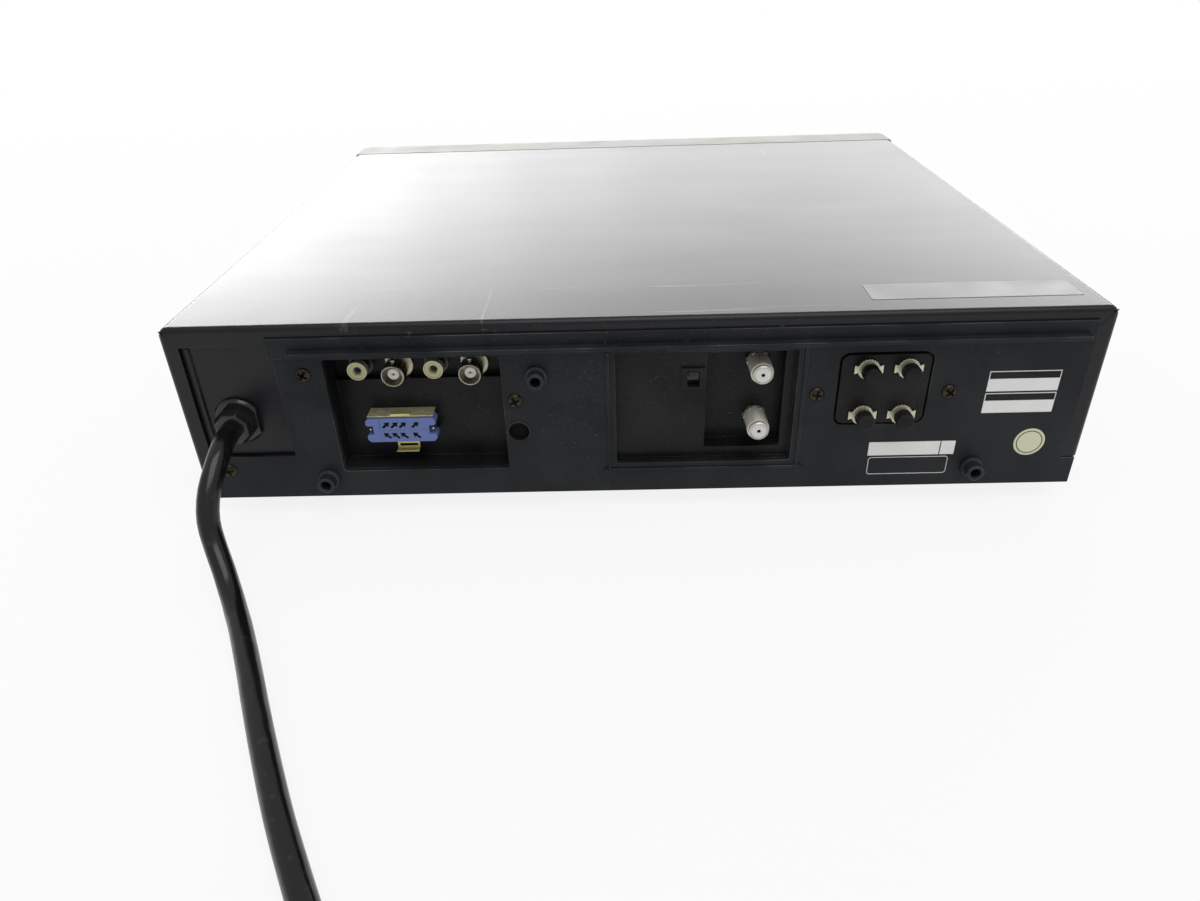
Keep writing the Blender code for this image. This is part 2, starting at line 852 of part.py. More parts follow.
def make_monitor_connector(look):
    """Eight-way block: a wide front, a narrower body through the panel and two rows of contacts."""
    face_y = rear_y - connector_face
    mesh = bmesh.new()
    add_prism(mesh, connector_outline(0), "Y", face_y - connector_front, face_y)
    block = new_object("monitor_connector", mesh, look)
    mesh = bmesh.new()
    x0, x1 = connector_right_x + connector_inset, connector_left_x - connector_inset
    z0, z1 = up(connector_low) + connector_inset, up(connector_high) - connector_inset
    start = rear_y - bay_depth - plate - jack_tail
    add_box(mesh, x0, x1, start, face_y - connector_front / 2, z0, z1)
    fuse(block, mesh, "body")
    middle_x = (connector_left_x + connector_right_x) / 2
    middle_z = up((connector_low + connector_high) / 2)
    row_drop = (connector_high - connector_low) / 2 * slot_row_share
    span = slot_pitch * slot_shares[-1]
    for row, sign in (("upper", 1), ("lower", -1)):
        for number, share in enumerate(slot_shares, 1):
            mesh = bmesh.new()
            half_slot, half_run = slot_width / 2, slot_length / 2
            add_box(mesh, -half_slot, half_slot, -slot_depth, overrun, -half_run, half_run)
            place = (middle_x + span / 2 - slot_pitch * share, face_y, middle_z + sign * row_drop)
            cut(block, mesh, f"{row}_{number}", place, (0, -sign * slot_tilt, 0))


def make_connector_latch(look):
    """Sprung steel frame round the connector: a roof with a raised tab, and a loop below."""
    left, right = connector_left_x - connector_inset / 2, connector_right_x + connector_inset / 2
    low, high = up(connector_low) - fit, up(connector_high) + fit
    frame_y = rear_y - bay_depth + fit
    front = rear_y - connector_face - connector_inset / 2
    mesh = bmesh.new()
    add_box(mesh, right, left, frame_y, frame_y + latch_sheet, low - latch_tab_drop, high + latch_sheet)
    latch = new_object("connector_latch", mesh, look)
    mesh = bmesh.new()
    narrow = connector_inset - fit
    x0, x1 = connector_right_x + narrow, connector_left_x - narrow
    start, end = frame_y - overrun, frame_y + latch_sheet + overrun
    add_box(mesh, x0, x1, start, end, up(connector_low) + narrow, up(connector_high) - narrow)
    middle_x = (left + right) / 2
    half_tab = latch_tab_width / 2
    beneath = low - latch_tab_drop - overrun
    add_box(mesh, right - overrun, middle_x - half_tab, start, end, beneath, low - latch_side)
    add_box(mesh, middle_x + half_tab, left + overrun, start, end, beneath, low - latch_side)
    cut(latch, mesh, "window")
    mesh = bmesh.new()
    add_box(mesh, right, left, frame_y, front, high, high + latch_sheet)
    half_ridge = latch_ridge_width / 2
    ridge_low = high + latch_sheet / 2
    ridge_high = high + latch_ridge
    ridge_back = front - latch_tab_reach
    add_box(mesh, middle_x - half_ridge, middle_x + half_ridge, ridge_back, front, ridge_low, ridge_high)
    fuse(latch, mesh, "roof")
    mesh = bmesh.new()
    foot_z = low - latch_tab_drop
    tab_end = frame_y + latch_tab_reach
    add_box(mesh, middle_x - half_tab, middle_x + half_tab, frame_y, tab_end, foot_z, foot_z + latch_sheet)
    fuse(latch, mesh, "foot")


# Aerial panel: a shallow pan with a deeper pocket, its jacks and switch

pan_depth = 0.0040
pocket_gap = 0.0042
pocket_width = 0.0322
pocket_right_x = pan_right_x + pocket_gap
pocket_left_x = pocket_right_x + pocket_width
pocket_low_gap = 0.0047
pocket_high_gap = 0.0024
pocket_low = pan_low + pocket_low_gap
pocket_high = pan_high - pocket_high_gap
pocket_depth = 0.0120
switch_gap = 0.0054
switch_x = pocket_left_x + switch_gap
switch_drop = 0.0136
switch_height = pan_high - switch_drop
switch_bezel_half = 0.0048
switch_bezel_stand = 0.0015
switch_window_width = 0.0052
switch_window_height = 0.0070
switch_travel = 0.0034
switch_knob_width = 0.0044
switch_knob_height = 0.0024
switch_base = 0.0010
switch_base_half = 0.0036
aerial_inset = 0.0101
aerial_x = pocket_right_x + aerial_inset
aerial_drop = 0.0076
aerial_rise = 0.0110
aerial_heights = (pocket_high - aerial_drop, pocket_low + aerial_rise)
aerial_radius = 0.00475
aerial_flange = 0.0057
aerial_reach = 0.0148
aerial_recess = 0.0034
aerial_bore = 0.0007
aerial_bore_depth = 0.0060


def make_aerial_panel(look):
    mesh = bmesh.new()
    front = panel_back_y - fit
    left, right = pan_left_x + plate, pan_right_x - plate
    low, high = up(pan_low) - plate, up(pan_high) + plate
    add_box(mesh, right, left, rear_y - pan_depth - plate, front, low, high)
    pan = new_object("aerial_panel", mesh, look)
    mesh = bmesh.new()
    x0, x1 = pocket_right_x - plate, pocket_left_x + plate
    z0, z1 = up(pocket_low) - plate, up(pocket_high) + plate
    back = rear_y - pocket_depth - plate
    add_box(mesh, x0, x1, back, rear_y - pan_depth - plate / 2, z0, z1)
    fuse(pan, mesh, "pocket_shell")
    mesh = bmesh.new()
    floor = rear_y - pan_depth
    add_box(mesh, pan_right_x, pan_left_x, floor, front + overrun, up(pan_low), up(pan_high))
    cut(pan, mesh, "pan")
    mesh = bmesh.new()
    half = switch_bezel_half
    z0, z1 = up(switch_height) - half, up(switch_height) + half
    bezel_front = floor + switch_bezel_stand
    add_box(mesh, switch_x - half, switch_x + half, floor - plate / 2, bezel_front, z0, z1)
    fuse(pan, mesh, "switch_bezel")
    mesh = bmesh.new()
    half = switch_window_width / 2
    tall = switch_window_height / 2
    z0, z1 = up(switch_height) - tall, up(switch_height) + tall
    start, end = floor - plate - overrun / 2, bezel_front + overrun
    add_box(mesh, switch_x - half, switch_x + half, start, end, z0, z1)
    cut(pan, mesh, "switch_window")
    mesh = bmesh.new()
    x0, x1 = pocket_right_x, pocket_left_x
    add_box(mesh, x0, x1, rear_y - pocket_depth, floor + overrun, up(pocket_low), up(pocket_high))
    cut(pan, mesh, "pocket")
    mesh = bmesh.new()
    start, end = back - overrun, back + plate + overrun
    for height in aerial_heights:
        add_rod(mesh, (aerial_x, up(height)), "Y", aerial_radius + fit, start, end)
    cut(pan, mesh, "jack_holes")


def make_aerial_jacks(look):
    seat = rear_y - pocket_depth + fit
    tip = seat + aerial_reach
    for place, height in zip(("upper", "lower"), aerial_heights):
        profile = [
            (0, seat - fit - plate),
            (aerial_radius, seat - fit - plate),
            (aerial_radius, seat),
            (aerial_flange, seat),
            (aerial_flange, seat + jack_flange),
            (aerial_radius, seat + jack_flange),
            (aerial_radius, tip - jack_chamfer),
            (aerial_radius - jack_chamfer, tip),
            (aerial_recess, tip),
            (aerial_recess, tip - jack_chamfer),
            (aerial_bore, tip - jack_chamfer),
            (aerial_bore, tip - aerial_bore_depth),
            (0, tip - aerial_bore_depth),
        ]
        mesh = bmesh.new()
        add_turned(mesh, profile, round_steps, (aerial_x, 0, up(height)), "Y")
        new_object(f"{place}_aerial_jack", mesh, look, True)


def make_channel_switch(look):
    """A slider knob on a base that stays behind its window."""
    floor_back = rear_y - pan_depth - plate
    knob_z = up(switch_height) + switch_travel / 2
    mesh = bmesh.new()
    half_wide, half_tall = switch_knob_width / 2, switch_knob_height / 2
    start = floor_back - fit - switch_base / 2
    knob_end = rear_y - pan_depth + switch_bezel_stand / 2
    add_box(mesh, -half_wide, half_wide, start, knob_end, -half_tall, half_tall)
    slider = new_object("channel_switch", mesh, look, place=(switch_x, 0, knob_z))
    mesh = bmesh.new()
    base_y = floor_back - fit
    tall = switch_window_height / 2 + switch_travel / 2
    add_box(mesh, -switch_base_half, switch_base_half, base_y - switch_base, base_y, -tall, tall)
    fuse(slider, mesh, "base", (switch_x, 0, knob_z))


converter_inset = 0.0028
converter_width = 0.0520
converter_right_x = pan_right_x + converter_inset
converter_left_x = converter_right_x + converter_width
converter_low = 0.0160
converter_drop = 0.0020
converter_high = pan_high - converter_drop
converter_depth = 0.0360


def make_aerial_converter(look):
    """The screened box that the aerial jacks stand on."""
    front = rear_y - pocket_depth - plate - fit
    mesh = bmesh.new()
    low, high = up(converter_low), up(converter_high)
    add_box(mesh, converter_right_x, converter_left_x, front - converter_depth, front, low, high)
    box = new_object("aerial_converter", mesh, look)
    edges = box.modifiers.new("folded edges", "BEVEL")
    edges.width = sheet
    edges.segments = 2


# Twin-lead terminals: plate, sprung washers and ribbed thumb screws

terminal_gap = 0.0008
terminal_stand = 0.0002
terminal_flange = 0.0020
terminal_insets = (0.0116, 0.0276)
terminal_drop = 0.0070
terminal_rise = 0.0050
terminal_xs = [terminal_left_x - inset for inset in terminal_insets]
terminal_heights = (terminal_high - terminal_drop, terminal_low + terminal_rise)
stud_radius = 0.0015
stud_length = 0.0100
washer_radius = 0.00445
washer_thickness = 0.0008
washer_ear_reach = 0.00575
washer_ear_half = 0.0013
thumb_radius = 0.0036
thumb_valley = 0.0033
thumb_ribs = 14
thumb_collar = 0.0026
thumb_collar_depth = 0.0010


def terminal_places():
    return [(x, height) for height in terminal_heights for x in terminal_xs]


def make_terminal_plate(look):
    gap = terminal_gap
    mesh = bmesh.new()
    outline = rounded(
        terminal_right_x + gap,
        up(terminal_low) + gap,
        terminal_left_x - gap,
        up(terminal_high) - gap,
        terminal_corner - gap,
    )
    back = panel_back_y - fit
    add_prism(mesh, outline, "Y", back - plate / 2, panel_face_y + terminal_stand)
    base = new_object("terminal_plate", mesh, look)
    mesh = bmesh.new()
    out = terminal_flange
    x0, x1 = terminal_right_x - out, terminal_left_x + out
    add_box(mesh, x0, x1, back - plate, back, up(terminal_low) - out, up(terminal_high) + out)
    fuse(base, mesh, "flange")
    mesh = bmesh.new()
    for x, height in terminal_places():
        start, end = back - plate - overrun, panel_face_y + overrun
        add_rod(mesh, (x, up(height)), "Y", stud_radius + fit, start, end)
    cut(base, mesh, "stud_holes")


def make_terminal_screws(washer_look, screw_look):
    face = panel_face_y + terminal_stand
    washer_back = face + fit
    washer_front = washer_back + washer_thickness
    for number, (x, height) in enumerate(terminal_places(), 1):
        axis = pivot(f"terminal_{number}_axis", (x, washer_back, up(height)))
        mesh = bmesh.new()
        add_rod(mesh, (0, 0), "Y", washer_radius, 0, washer_thickness, round_steps)
        place = (x, washer_back, up(height))
        washer = new_object(f"terminal_washer_{number}", mesh, washer_look, False, place, parent=axis)
        mesh = bmesh.new()
        ear = washer_ear_reach
        add_box(mesh, -ear, ear, 0, washer_thickness, -washer_ear_half, washer_ear_half)
        fuse(washer, mesh, "ears", place)
        mesh = bmesh.new()
        start, end = -overrun, washer_thickness + overrun
        add_rod(mesh, (0, 0), "Y", stud_radius + fit, start, end, small_steps)
        cut(washer, mesh, "bore", place)

        neck_y = washer_front + fit
        mesh = bmesh.new()
        length = rear_y + rear_reach - neck_y
        knob_start = thumb_collar_depth
        add_prism(mesh, ribbed(thumb_valley, thumb_radius, thumb_ribs), "Y", knob_start, length)
        place = (x, neck_y, up(height))
        screw = new_object(f"thumb_screw_{number}", mesh, screw_look, False, place, parent=axis)
        mesh = bmesh.new()
        profile = [
            (0, -stud_length),
            (stud_radius, -stud_length),
            (stud_radius, 0),
            (thumb_collar, 0),
            (thumb_collar, knob_start * 2),
            (0, knob_start * 2),
        ]
        add_turned(mesh, profile, small_steps, axis="Y")
        fuse(screw, mesh, "stud", place)


# Front panel: a moulded frame with its openings

bezel_wall = 0.0025
bezel_corner = 0.0060
bezel_edge = 0.0015
slot_side_room = 0.0045
slot_low_room = 0.0012
slot_high_room = 0.0008
slot_half = cassette_width / 2 + slot_side_room
slot_low = holder_low - slot_low_room
slot_high = holder_high + slot_high_room
window_gap = 0.0205
window_side_gap = 0.0160
window_left_x = tape_x + slot_half + window_gap
window_right_x = half_width - window_side_gap
window_low = 0.0470
window_top_gap = 0.0070
window_high = cover_height - window_top_gap
bay_door_offset = 0.0850
bay_door_side_gap = 0.0140
bay_door_left_x = tape_x + bay_door_offset
bay_door_right_x = half_width - bay_door_side_gap
bay_door_low = 0.0080
bay_door_high = 0.0360
bay_recess = 0.0140
key_low = 0.0170
key_height = 0.0100
key_width = 0.0170
key_pitch = 0.0185
key_radius = 0.0012
key_cap = 0.0050
power_inset = 0.0180
power_x = power_inset - half_width
wide_key_width = 0.0200
wide_key_pitch = 0.0320
wide_key_low = 0.0150
wide_key_height = 0.0140
key_first_gap = 0.0430
eject_x = power_x + wide_key_pitch
key_first_x = eject_x + key_first_gap
hinge_radius = 0.0012
hinge_drop = 0.0020
hinge_back = 0.0040
bay_hinge_radius = 0.0016
bay_pin_radius = 0.0009
cheek = 0.0030
cheek_reach = 0.0040


def bezel_ring(inset, z):
    """The front panel's plan at one height: round front corners, a flat back."""
    side = half_width - inset
    nose = front_y + inset
    radius = bezel_corner - inset
    points = [(side, bezel_back_y), (-side, bezel_back_y)]
    points += arc(-side + radius, nose + radius, radius, 2, 3)
    points += arc(side - radius, nose + radius, radius, 3, 4)
    return [(x, y, z) for x, y in points]


def key_row():
    """Name, middle, width, low edge and height of each button."""
    row = [("power_button", power_x, wide_key_width, wide_key_low, wide_key_height)]
    row.append(("eject_button", eject_x, wide_key_width, wide_key_low, wide_key_height))
    for number, use in enumerate(("rewind", "play", "forward", "stop", "pause", "record")):
        row.append((use + "_button", key_first_x + key_pitch * number, key_width, key_low, key_height))
    return row


def cassette_hinge():
    """Where the cassette door's pins lie, as (y, z)."""
    return front_y + hinge_back, up(slot_high) - hinge_drop - hinge_radius


def bay_hinge():
    """Where the control door's pins lie, as (y, z)."""
    return front_y + bay_hinge_radius, up(bay_door_low) + bay_hinge_radius + fit


def make_front_panel(look):
    mesh = bmesh.new()
    rings = []
    for step in range(arc_steps + 1):
        angle = quarter * step / arc_steps
        height = chassis_z + bezel_edge * (1 - math.cos(angle))
        rings.append(bezel_ring(bezel_edge * (1 - math.sin(angle)), height))
    for step in range(arc_steps, -1, -1):
        angle = quarter * step / arc_steps
        height = cover_top_z - bezel_edge * (1 - math.cos(angle))
        rings.append(bezel_ring(bezel_edge * (1 - math.sin(angle)), height))
    add_loft(mesh, rings)
    bezel = new_object("front_panel", mesh, look, True)

    mesh = bmesh.new()
    low, high = chassis_z + bezel_wall, cover_top_z - bezel_wall
    side = half_width - bezel_wall
    inner_y = front_y + bezel_wall
    radius = bezel_corner - bezel_wall
    outline = [(side, bezel_back_y + overrun), (-side, bezel_back_y + overrun)]
    outline += arc(-side + radius, inner_y + radius, radius, 2, 3)
    outline += arc(side - radius, inner_y + radius, radius, 3, 4)
    add_prism(mesh, outline, "Z", low, high)
    cut(bezel, mesh, "hollow")

    mesh = bmesh.new()
    x0, x1 = bay_door_left_x - bezel_wall, bay_door_right_x + bezel_wall
    back = front_y + bay_recess + bezel_wall
    z0, z1 = up(bay_door_low) - bezel_wall, up(bay_door_high) + bezel_wall
    add_box(mesh, x0, x1, front_y + bezel_wall / 2, back, z0, z1)
    hinge_y, hinge_z = cassette_hinge()
    for sign in (-1, 1):
        x0, x1 = sorted((tape_x + sign * (slot_half + cheek), tape_x + sign * slot_half))
        z0 = hinge_z - cheek_reach
        add_box(mesh, x0, x1, front_y + bezel_wall / 2, hinge_y + cheek_reach, z0, high + bezel_wall / 2)
    fuse(bezel, mesh, "inner_walls")

    mesh = bmesh.new()
    y0, y1 = front_y - overrun, inner_y + overrun
    x0, x1 = tape_x - slot_half, tape_x + slot_half
    add_box(mesh, x0, x1, y0, inner_y + slide_gap, up(slot_low), up(slot_high))
    view = rounded(window_left_x, up(window_low), window_right_x, up(window_high), corner_radius)
    add_prism(mesh, view, "Y", y0, y1)
    for name, x, width, low_edge, height in key_row():
        x0, x1, z0, z1 = x - width / 2, x + width / 2, up(low_edge), up(low_edge) + height
        add_prism(mesh, rounded(x0, z0, x1, z1, key_radius), "Y", y0, y1)
    cut(bezel, mesh, "openings")
    mesh = bmesh.new()
    x0, x1 = bay_door_left_x, bay_door_right_x
    add_box(mesh, x0, x1, y0, front_y + bay_recess, up(bay_door_low), up(bay_door_high))
    cut(bezel, mesh, "control_bay")
    mesh = bmesh.new()
    room = hinge_radius + fit
    pins = slot_half + cheek / 2
    add_rod(mesh, (hinge_y, hinge_z), "X", room, tape_x - pins, tape_x + pins)
    hinge_y, hinge_z = bay_hinge()
    pins = bezel_wall / 2
    add_rod(mesh, (hinge_y, hinge_z), "X", bay_pin_radius + fit, x0 - pins, x1 + pins)
    add_rod(mesh, (knob_x, up(knob_height)), "Y", knob_neck + fit, front_y + overrun, back + overrun)
    cut(bezel, mesh, "pin_holes")


door_thickness = 0.0020
control_door_thickness = 0.0020


def make_cassette_door(look):
    """Flap hung from two pins at its top, just behind the face of the front panel."""
    hinge_y, hinge_z = cassette_hinge()
    axis = pivot("cassette_door_axis", (tape_x, hinge_y, hinge_z))
    half = slot_half - fit
    face = front_y + slide_gap - hinge_y
    drop = hinge_z - up(slot_low) - fit
    rise = up(slot_high) - fit - hinge_z
    back = face + door_thickness
    mesh = bmesh.new()
    outline = [(face, -drop), (back, -drop), (back, -hinge_radius)]
    outline += arc(0, 0, hinge_radius, 3, 5)
    outline += [(back, rise), (face, rise)]
    add_prism(mesh, outline, "X", -half, half)
    place = (tape_x, hinge_y, hinge_z)
    door = new_object("cassette_door", mesh, look, False, place, parent=axis)
    mesh = bmesh.new()
    reach = slot_half + cheek / 2 - fit
    add_rod(mesh, (0, 0), "X", hinge_radius, -reach, reach)
    fuse(door, mesh, "pins", place)


def make_display_window(look):
    mesh = bmesh.new()
    x0, x1 = window_left_x + fit, window_right_x - fit
    z0, z1 = up(window_low) + fit, up(window_high) - fit
    outline = rounded(x0, z0, x1, z1, corner_radius)
    add_prism(mesh, outline, "Y", front_y + slide_gap, front_y + bezel_wall)
    new_object("display_window", mesh, look)


def make_control_door(look):
    """Drop-down flap in front of the control bay, hung from two pins at its foot."""
    hinge_y, hinge_z = bay_hinge()
    axis = pivot("control_door_axis", (0, hinge_y, hinge_z))
    rise = up(bay_door_high) - fit - hinge_z
    mesh = bmesh.new()
    back = control_door_thickness - bay_hinge_radius
    last = 4 + math.acos(back / bay_hinge_radius) / quarter
    outline = arc(0, 0, bay_hinge_radius, 2, last, 2 * arc_steps)
    outline += [(back, rise), (-bay_hinge_radius, rise)]
    middle = (bay_door_left_x + bay_door_right_x) / 2
    half = (bay_door_right_x - bay_door_left_x) / 2 - fit
    add_prism(mesh, outline, "X", -half, half)
    place = (middle, hinge_y, hinge_z)
    door = new_object("control_door", mesh, look, False, place, parent=axis)
    mesh = bmesh.new()
    reach = half + bezel_wall / 2
    add_rod(mesh, (0, 0), "X", bay_pin_radius, -reach, reach)
    fuse(door, mesh, "pins", place)


knob_inset = 0.0220
knob_x = bay_door_left_x + knob_inset
knob_height = 0.0230
knob_radius = 0.0062
knob_valley = 0.0057
knob_ribs = 20
knob_length = 0.0080
knob_neck = 0.0026


def make_tracking_knob(look):
    bay_back = front_y + bay_recess
    neck_end = bay_back + bezel_wall + fit
    seat = bay_back - fit
    axis = pivot("tracking_knob_axis", (knob_x, seat, up(knob_height)))
    mesh = bmesh.new()
    add_prism(mesh, ribbed(knob_valley, knob_radius, knob_ribs), "Y", -knob_length, 0)
    place = (knob_x, seat, up(knob_height))
    knob = new_object("tracking_knob", mesh, look, False, place, parent=axis)
    mesh = bmesh.new()
    add_rod(mesh, (0, 0), "Y", knob_neck, -knob_length / 2, neck_end - seat + bezel_wall)
    fuse(knob, mesh, "spindle", place)
    mesh = bmesh.new()
    half = slot_width / 2
    add_box(mesh, -half, half, -knob_length - overrun, -knob_length + slot_width, 0, knob_radius)
    cut(knob, mesh, "pointer", place)


def make_buttons(look):
    """Caps that stand a little proud of the front panel, each with a stop flange behind it."""
    for name, x, width, low_edge, height in key_row():
        middle_z = up(low_edge) + height / 2
        half_wide, half_tall = width / 2 - fit, height / 2 - fit
        radius = key_radius - fit
        place = (x, front_y, middle_z)
        mesh = bmesh.new()
        rings = []
        eased = radius / 2
        for inset, along in ((eased, -button_stand), (0, eased - button_stand), (0, key_cap)):
            w, h = half_wide - inset, half_tall - inset
            outline = rounded(-w, -h, w, h, radius - inset)
            rings.append([placed("Y", pair, along) for pair in outline])
        add_loft(mesh, rings)
        key = new_object(name, mesh, look, False, place)
        mesh = bmesh.new()
        flange = bezel_wall + fit
        w, h = half_wide + 2 * fit, half_tall + 2 * fit
        add_box(mesh, -w, w, flange, key_cap, -h, h)
        fuse(key, mesh, "stop", place)


# Deck: plate, drum, capstan, pinch roller and reel tables

drum_y = deck_rear_y - deck_rear_room - drum_radius
drum_tilt = math.radians(5)
drum_lift = 0.0050
drum_low_height = 0.0170
drum_high_height = 0.0150
drum_groove = 0.0020
drum_hub = 0.0085
drum_hub_height = 0.0035
head_window = 0.0030
head_window_height = 0.0022
head_count = 4
pedestal_radius = 0.022
capstan_offset_x = 0.062
capstan_lead = 0.026
capstan_y = drum_y - capstan_lead
capstan_radius = 0.0015
capstan_top = 0.062
flywheel_radius = 0.026
flywheel_low = 0.014
flywheel_thickness = 0.0055
flywheel_web = 0.0020
flywheel_rim = 0.0060
bearing_radius = 0.0042
bearing_height = 0.0080
pinch_offset_x = 0.047
pinch_lead = 0.014
pinch_y = drum_y - pinch_lead
pinch_radius = 0.0070
pinch_pin = 0.0015
pinch_low = 0.0340
pinch_high = 0.0500
reel_offset_x = 0.0462
reel_setback = 0.045
reel_y = holder_front_y + carriage_travel + reel_setback
reel_flange = 0.0190
reel_flange_thickness = 0.0025
reel_hub = 0.0098
reel_hub_height = 0.0060
reel_spindle = 0.0052
reel_spindle_height = 0.0155
reel_splines = 3
reel_spline_share = 0.12
reel_spline_stand = 0.0030
reel_pin = 0.0015
reel_pin_drop = 0.0040


def make_deck_plate(look):
    low, high = up(deck_height), up(deck_height) + deck_thickness
    mesh = bmesh.new()
    x0, x1 = tape_x - deck_half, tape_x + deck_half
    outline = rounded(x0, deck_front_y, x1, deck_rear_y, deck_inset)
    add_prism(mesh, outline, "Z", low, high)
    deck = new_object("deck_plate", mesh, look)
    mesh = bmesh.new()
    capstan = (tape_x + capstan_offset_x, capstan_y)
    add_rod(mesh, capstan, "Z", bearing_radius, low + deck_thickness / 2, high + bearing_height)
    pin = (tape_x + pinch_offset_x, pinch_y)
    add_rod(mesh, pin, "Z", pinch_pin, low + deck_thickness / 2, up(pinch_high) + fit)
    add_rod(mesh, pin, "Z", 2 * pinch_pin, low + deck_thickness / 3, up(pinch_low) - fit)
    fuse(deck, mesh, "bosses")
    mesh = bmesh.new()
    add_rod(mesh, capstan, "Z", capstan_radius + fit, low - overrun, high + bearing_height + overrun)
    for sign in (-1, 1):
        centre = (tape_x + sign * reel_offset_x, reel_y)
        add_rod(mesh, centre, "Z", reel_pin + fit, low - overrun, high + overrun)
    cut(deck, mesh, "bores")


def drum_frame():
    """The middle of the fixed drum's foot, and the lean of the drum."""
    return (tape_x, drum_y, up(deck_height) + deck_thickness + drum_lift), (drum_tilt, 0, 0)


def make_drum_base(look):
    place, turn = drum_frame()
    mesh = bmesh.new()
    groove_z = drum_low_height / 2
    profile = [
        (0, 0),
        (drum_radius - drum_groove, 0),
        (drum_radius - drum_groove, drum_groove),
        (drum_radius, drum_groove * 2),
        (drum_radius, drum_low_height),
        (0, drum_low_height),
    ]
    add_turned(mesh, profile, fine_steps)
    base = new_object("drum_base", mesh, look, True, place, turn)
    mesh = bmesh.new()
    low = up(deck_height) + deck_thickness + fit
    add_rod(mesh, (tape_x, drum_y), "Z", pedestal_radius, low, place[2] + groove_z, round_steps)
    fuse(base, mesh, "pedestal")


def make_head_drum(look):
    place, turn = drum_frame()
    lean = Euler(turn).to_matrix()
    seat = Vector(place) + lean @ Vector((0, 0, drum_low_height + fit))
    axis = pivot("head_drum_axis", seat, turn)
    mesh = bmesh.new()
    top = drum_high_height
    profile = [
        (0, 0),
        (drum_radius, 0),
        (drum_radius, top - drum_groove),
        (drum_radius - drum_groove, top),
        (drum_hub, top),
        (drum_hub, top + drum_hub_height),
        (0, top + drum_hub_height),
    ]
    add_turned(mesh, profile, fine_steps)
    drum = new_object("head_drum", mesh, look, True, seat, turn)
    bpy.context.view_layer.update()
    drum.parent = axis
    drum.matrix_parent_inverse = axis.matrix_world.inverted()
    mesh = bmesh.new()
    for number in range(head_count):
        angle = whole_turn * number / head_count
        x, y = drum_radius * math.cos(angle), drum_radius * math.sin(angle)
        half = head_window / 2
        add_box(mesh, x - half, x + half, y - half, y + half, -overrun, head_window_height)
    cut(drum, mesh, "head_windows", seat, turn)


def make_capstan(look):
    """The capstan shaft with its webbed flywheel under the deck."""
    place = (tape_x + capstan_offset_x, capstan_y, up(flywheel_low))
    axis = pivot("capstan_axis", place)
    rim = flywheel_radius - flywheel_rim
    boss = bearing_radius + sheet
    profile = [
        (0, 0),
        (flywheel_radius, 0),
        (flywheel_radius, flywheel_thickness),
        (rim, flywheel_thickness),
        (rim, flywheel_web),
        (boss, flywheel_web),
        (boss, flywheel_thickness),
        (capstan_radius, flywheel_thickness),
        (capstan_radius, capstan_top - flywheel_low),
        (0, capstan_top - flywheel_low),
    ]
    mesh = bmesh.new()
    add_turned(mesh, profile, round_steps)
    new_object("capstan", mesh, look, True, place, parent=axis)


def make_pinch_roller(look):
    place = (tape_x + pinch_offset_x, pinch_y, up(pinch_low))
    axis = pivot("pinch_roller_axis", place)
    length = pinch_high - pinch_low
    crown = pinch_radius - fit
    profile = [(0, 0), (crown, 0), (pinch_radius, fit)]
    profile += [(pinch_radius, length - fit), (crown, length), (0, length)]
    mesh = bmesh.new()
    add_turned(mesh, profile, round_steps)
    roller = new_object("pinch_roller", mesh, look, True, place, parent=axis)
    mesh = bmesh.new()
    add_rod(mesh, (0, 0), "Z", pinch_pin + fit, -overrun, length + overrun)
    cut(roller, mesh, "bore", place)


def make_reel_tables(look):
    """Turntables with a splined spindle each."""
    seat = up(deck_height) + deck_thickness + fit
    for name, sign in (("supply_reel_table", -1), ("takeup_reel_table", 1)):
        place = (tape_x + sign * reel_offset_x, reel_y, seat)
        axis = pivot(name + "_axis", place)
        top = reel_flange_thickness
        profile = [
            (0, -reel_pin_drop),
            (reel_pin, -reel_pin_drop),
            (reel_pin, 0),
            (reel_flange, 0),
            (reel_flange, top),
            (reel_hub, top),
            (reel_hub, reel_hub_height),
            (reel_spindle, reel_hub_height),
            (reel_spindle, reel_spindle_height - reel_spindle / 2),
            (reel_spindle / 3, reel_spindle_height),
            (0, reel_spindle_height),
        ]
        mesh = bmesh.new()
        add_turned(mesh, profile, round_steps)
        table = new_object(name, mesh, look, True, place, parent=axis)
        mesh = bmesh.new()
        outer = reel_spindle + reel_spline_stand
        star = ribbed(reel_spindle / 2, outer, reel_splines, reel_spline_share)
        add_prism(mesh, star, "Z", reel_hub_height / 2, reel_spindle_height - reel_spindle)
        fuse(table, mesh, "splines", place)


# Cassette carriage: fixed frame, driven yoke and the holder that the cassette slides into

holder_ledge = 0.0140
holder_roof_setback = 0.0180
yoke_length = 0.040
yoke_low_gap = 0.0104
yoke_low = deck_height + deck_thickness + yoke_low_gap
yoke_bar = 0.0120
yoke_pin_drop = 0.0065
yoke_pin_height = yoke_high - yoke_pin_drop
pin_radius = 0.0015
holder_pin_rise = 0.0140
holder_pin_height = holder_low + holder_pin_rise
frame_tail = 0.008
frame_rear_y = holder_front_y + holder_length + carriage_travel + frame_tail
frame_bar = 0.0100
frame_foot = 0.0080


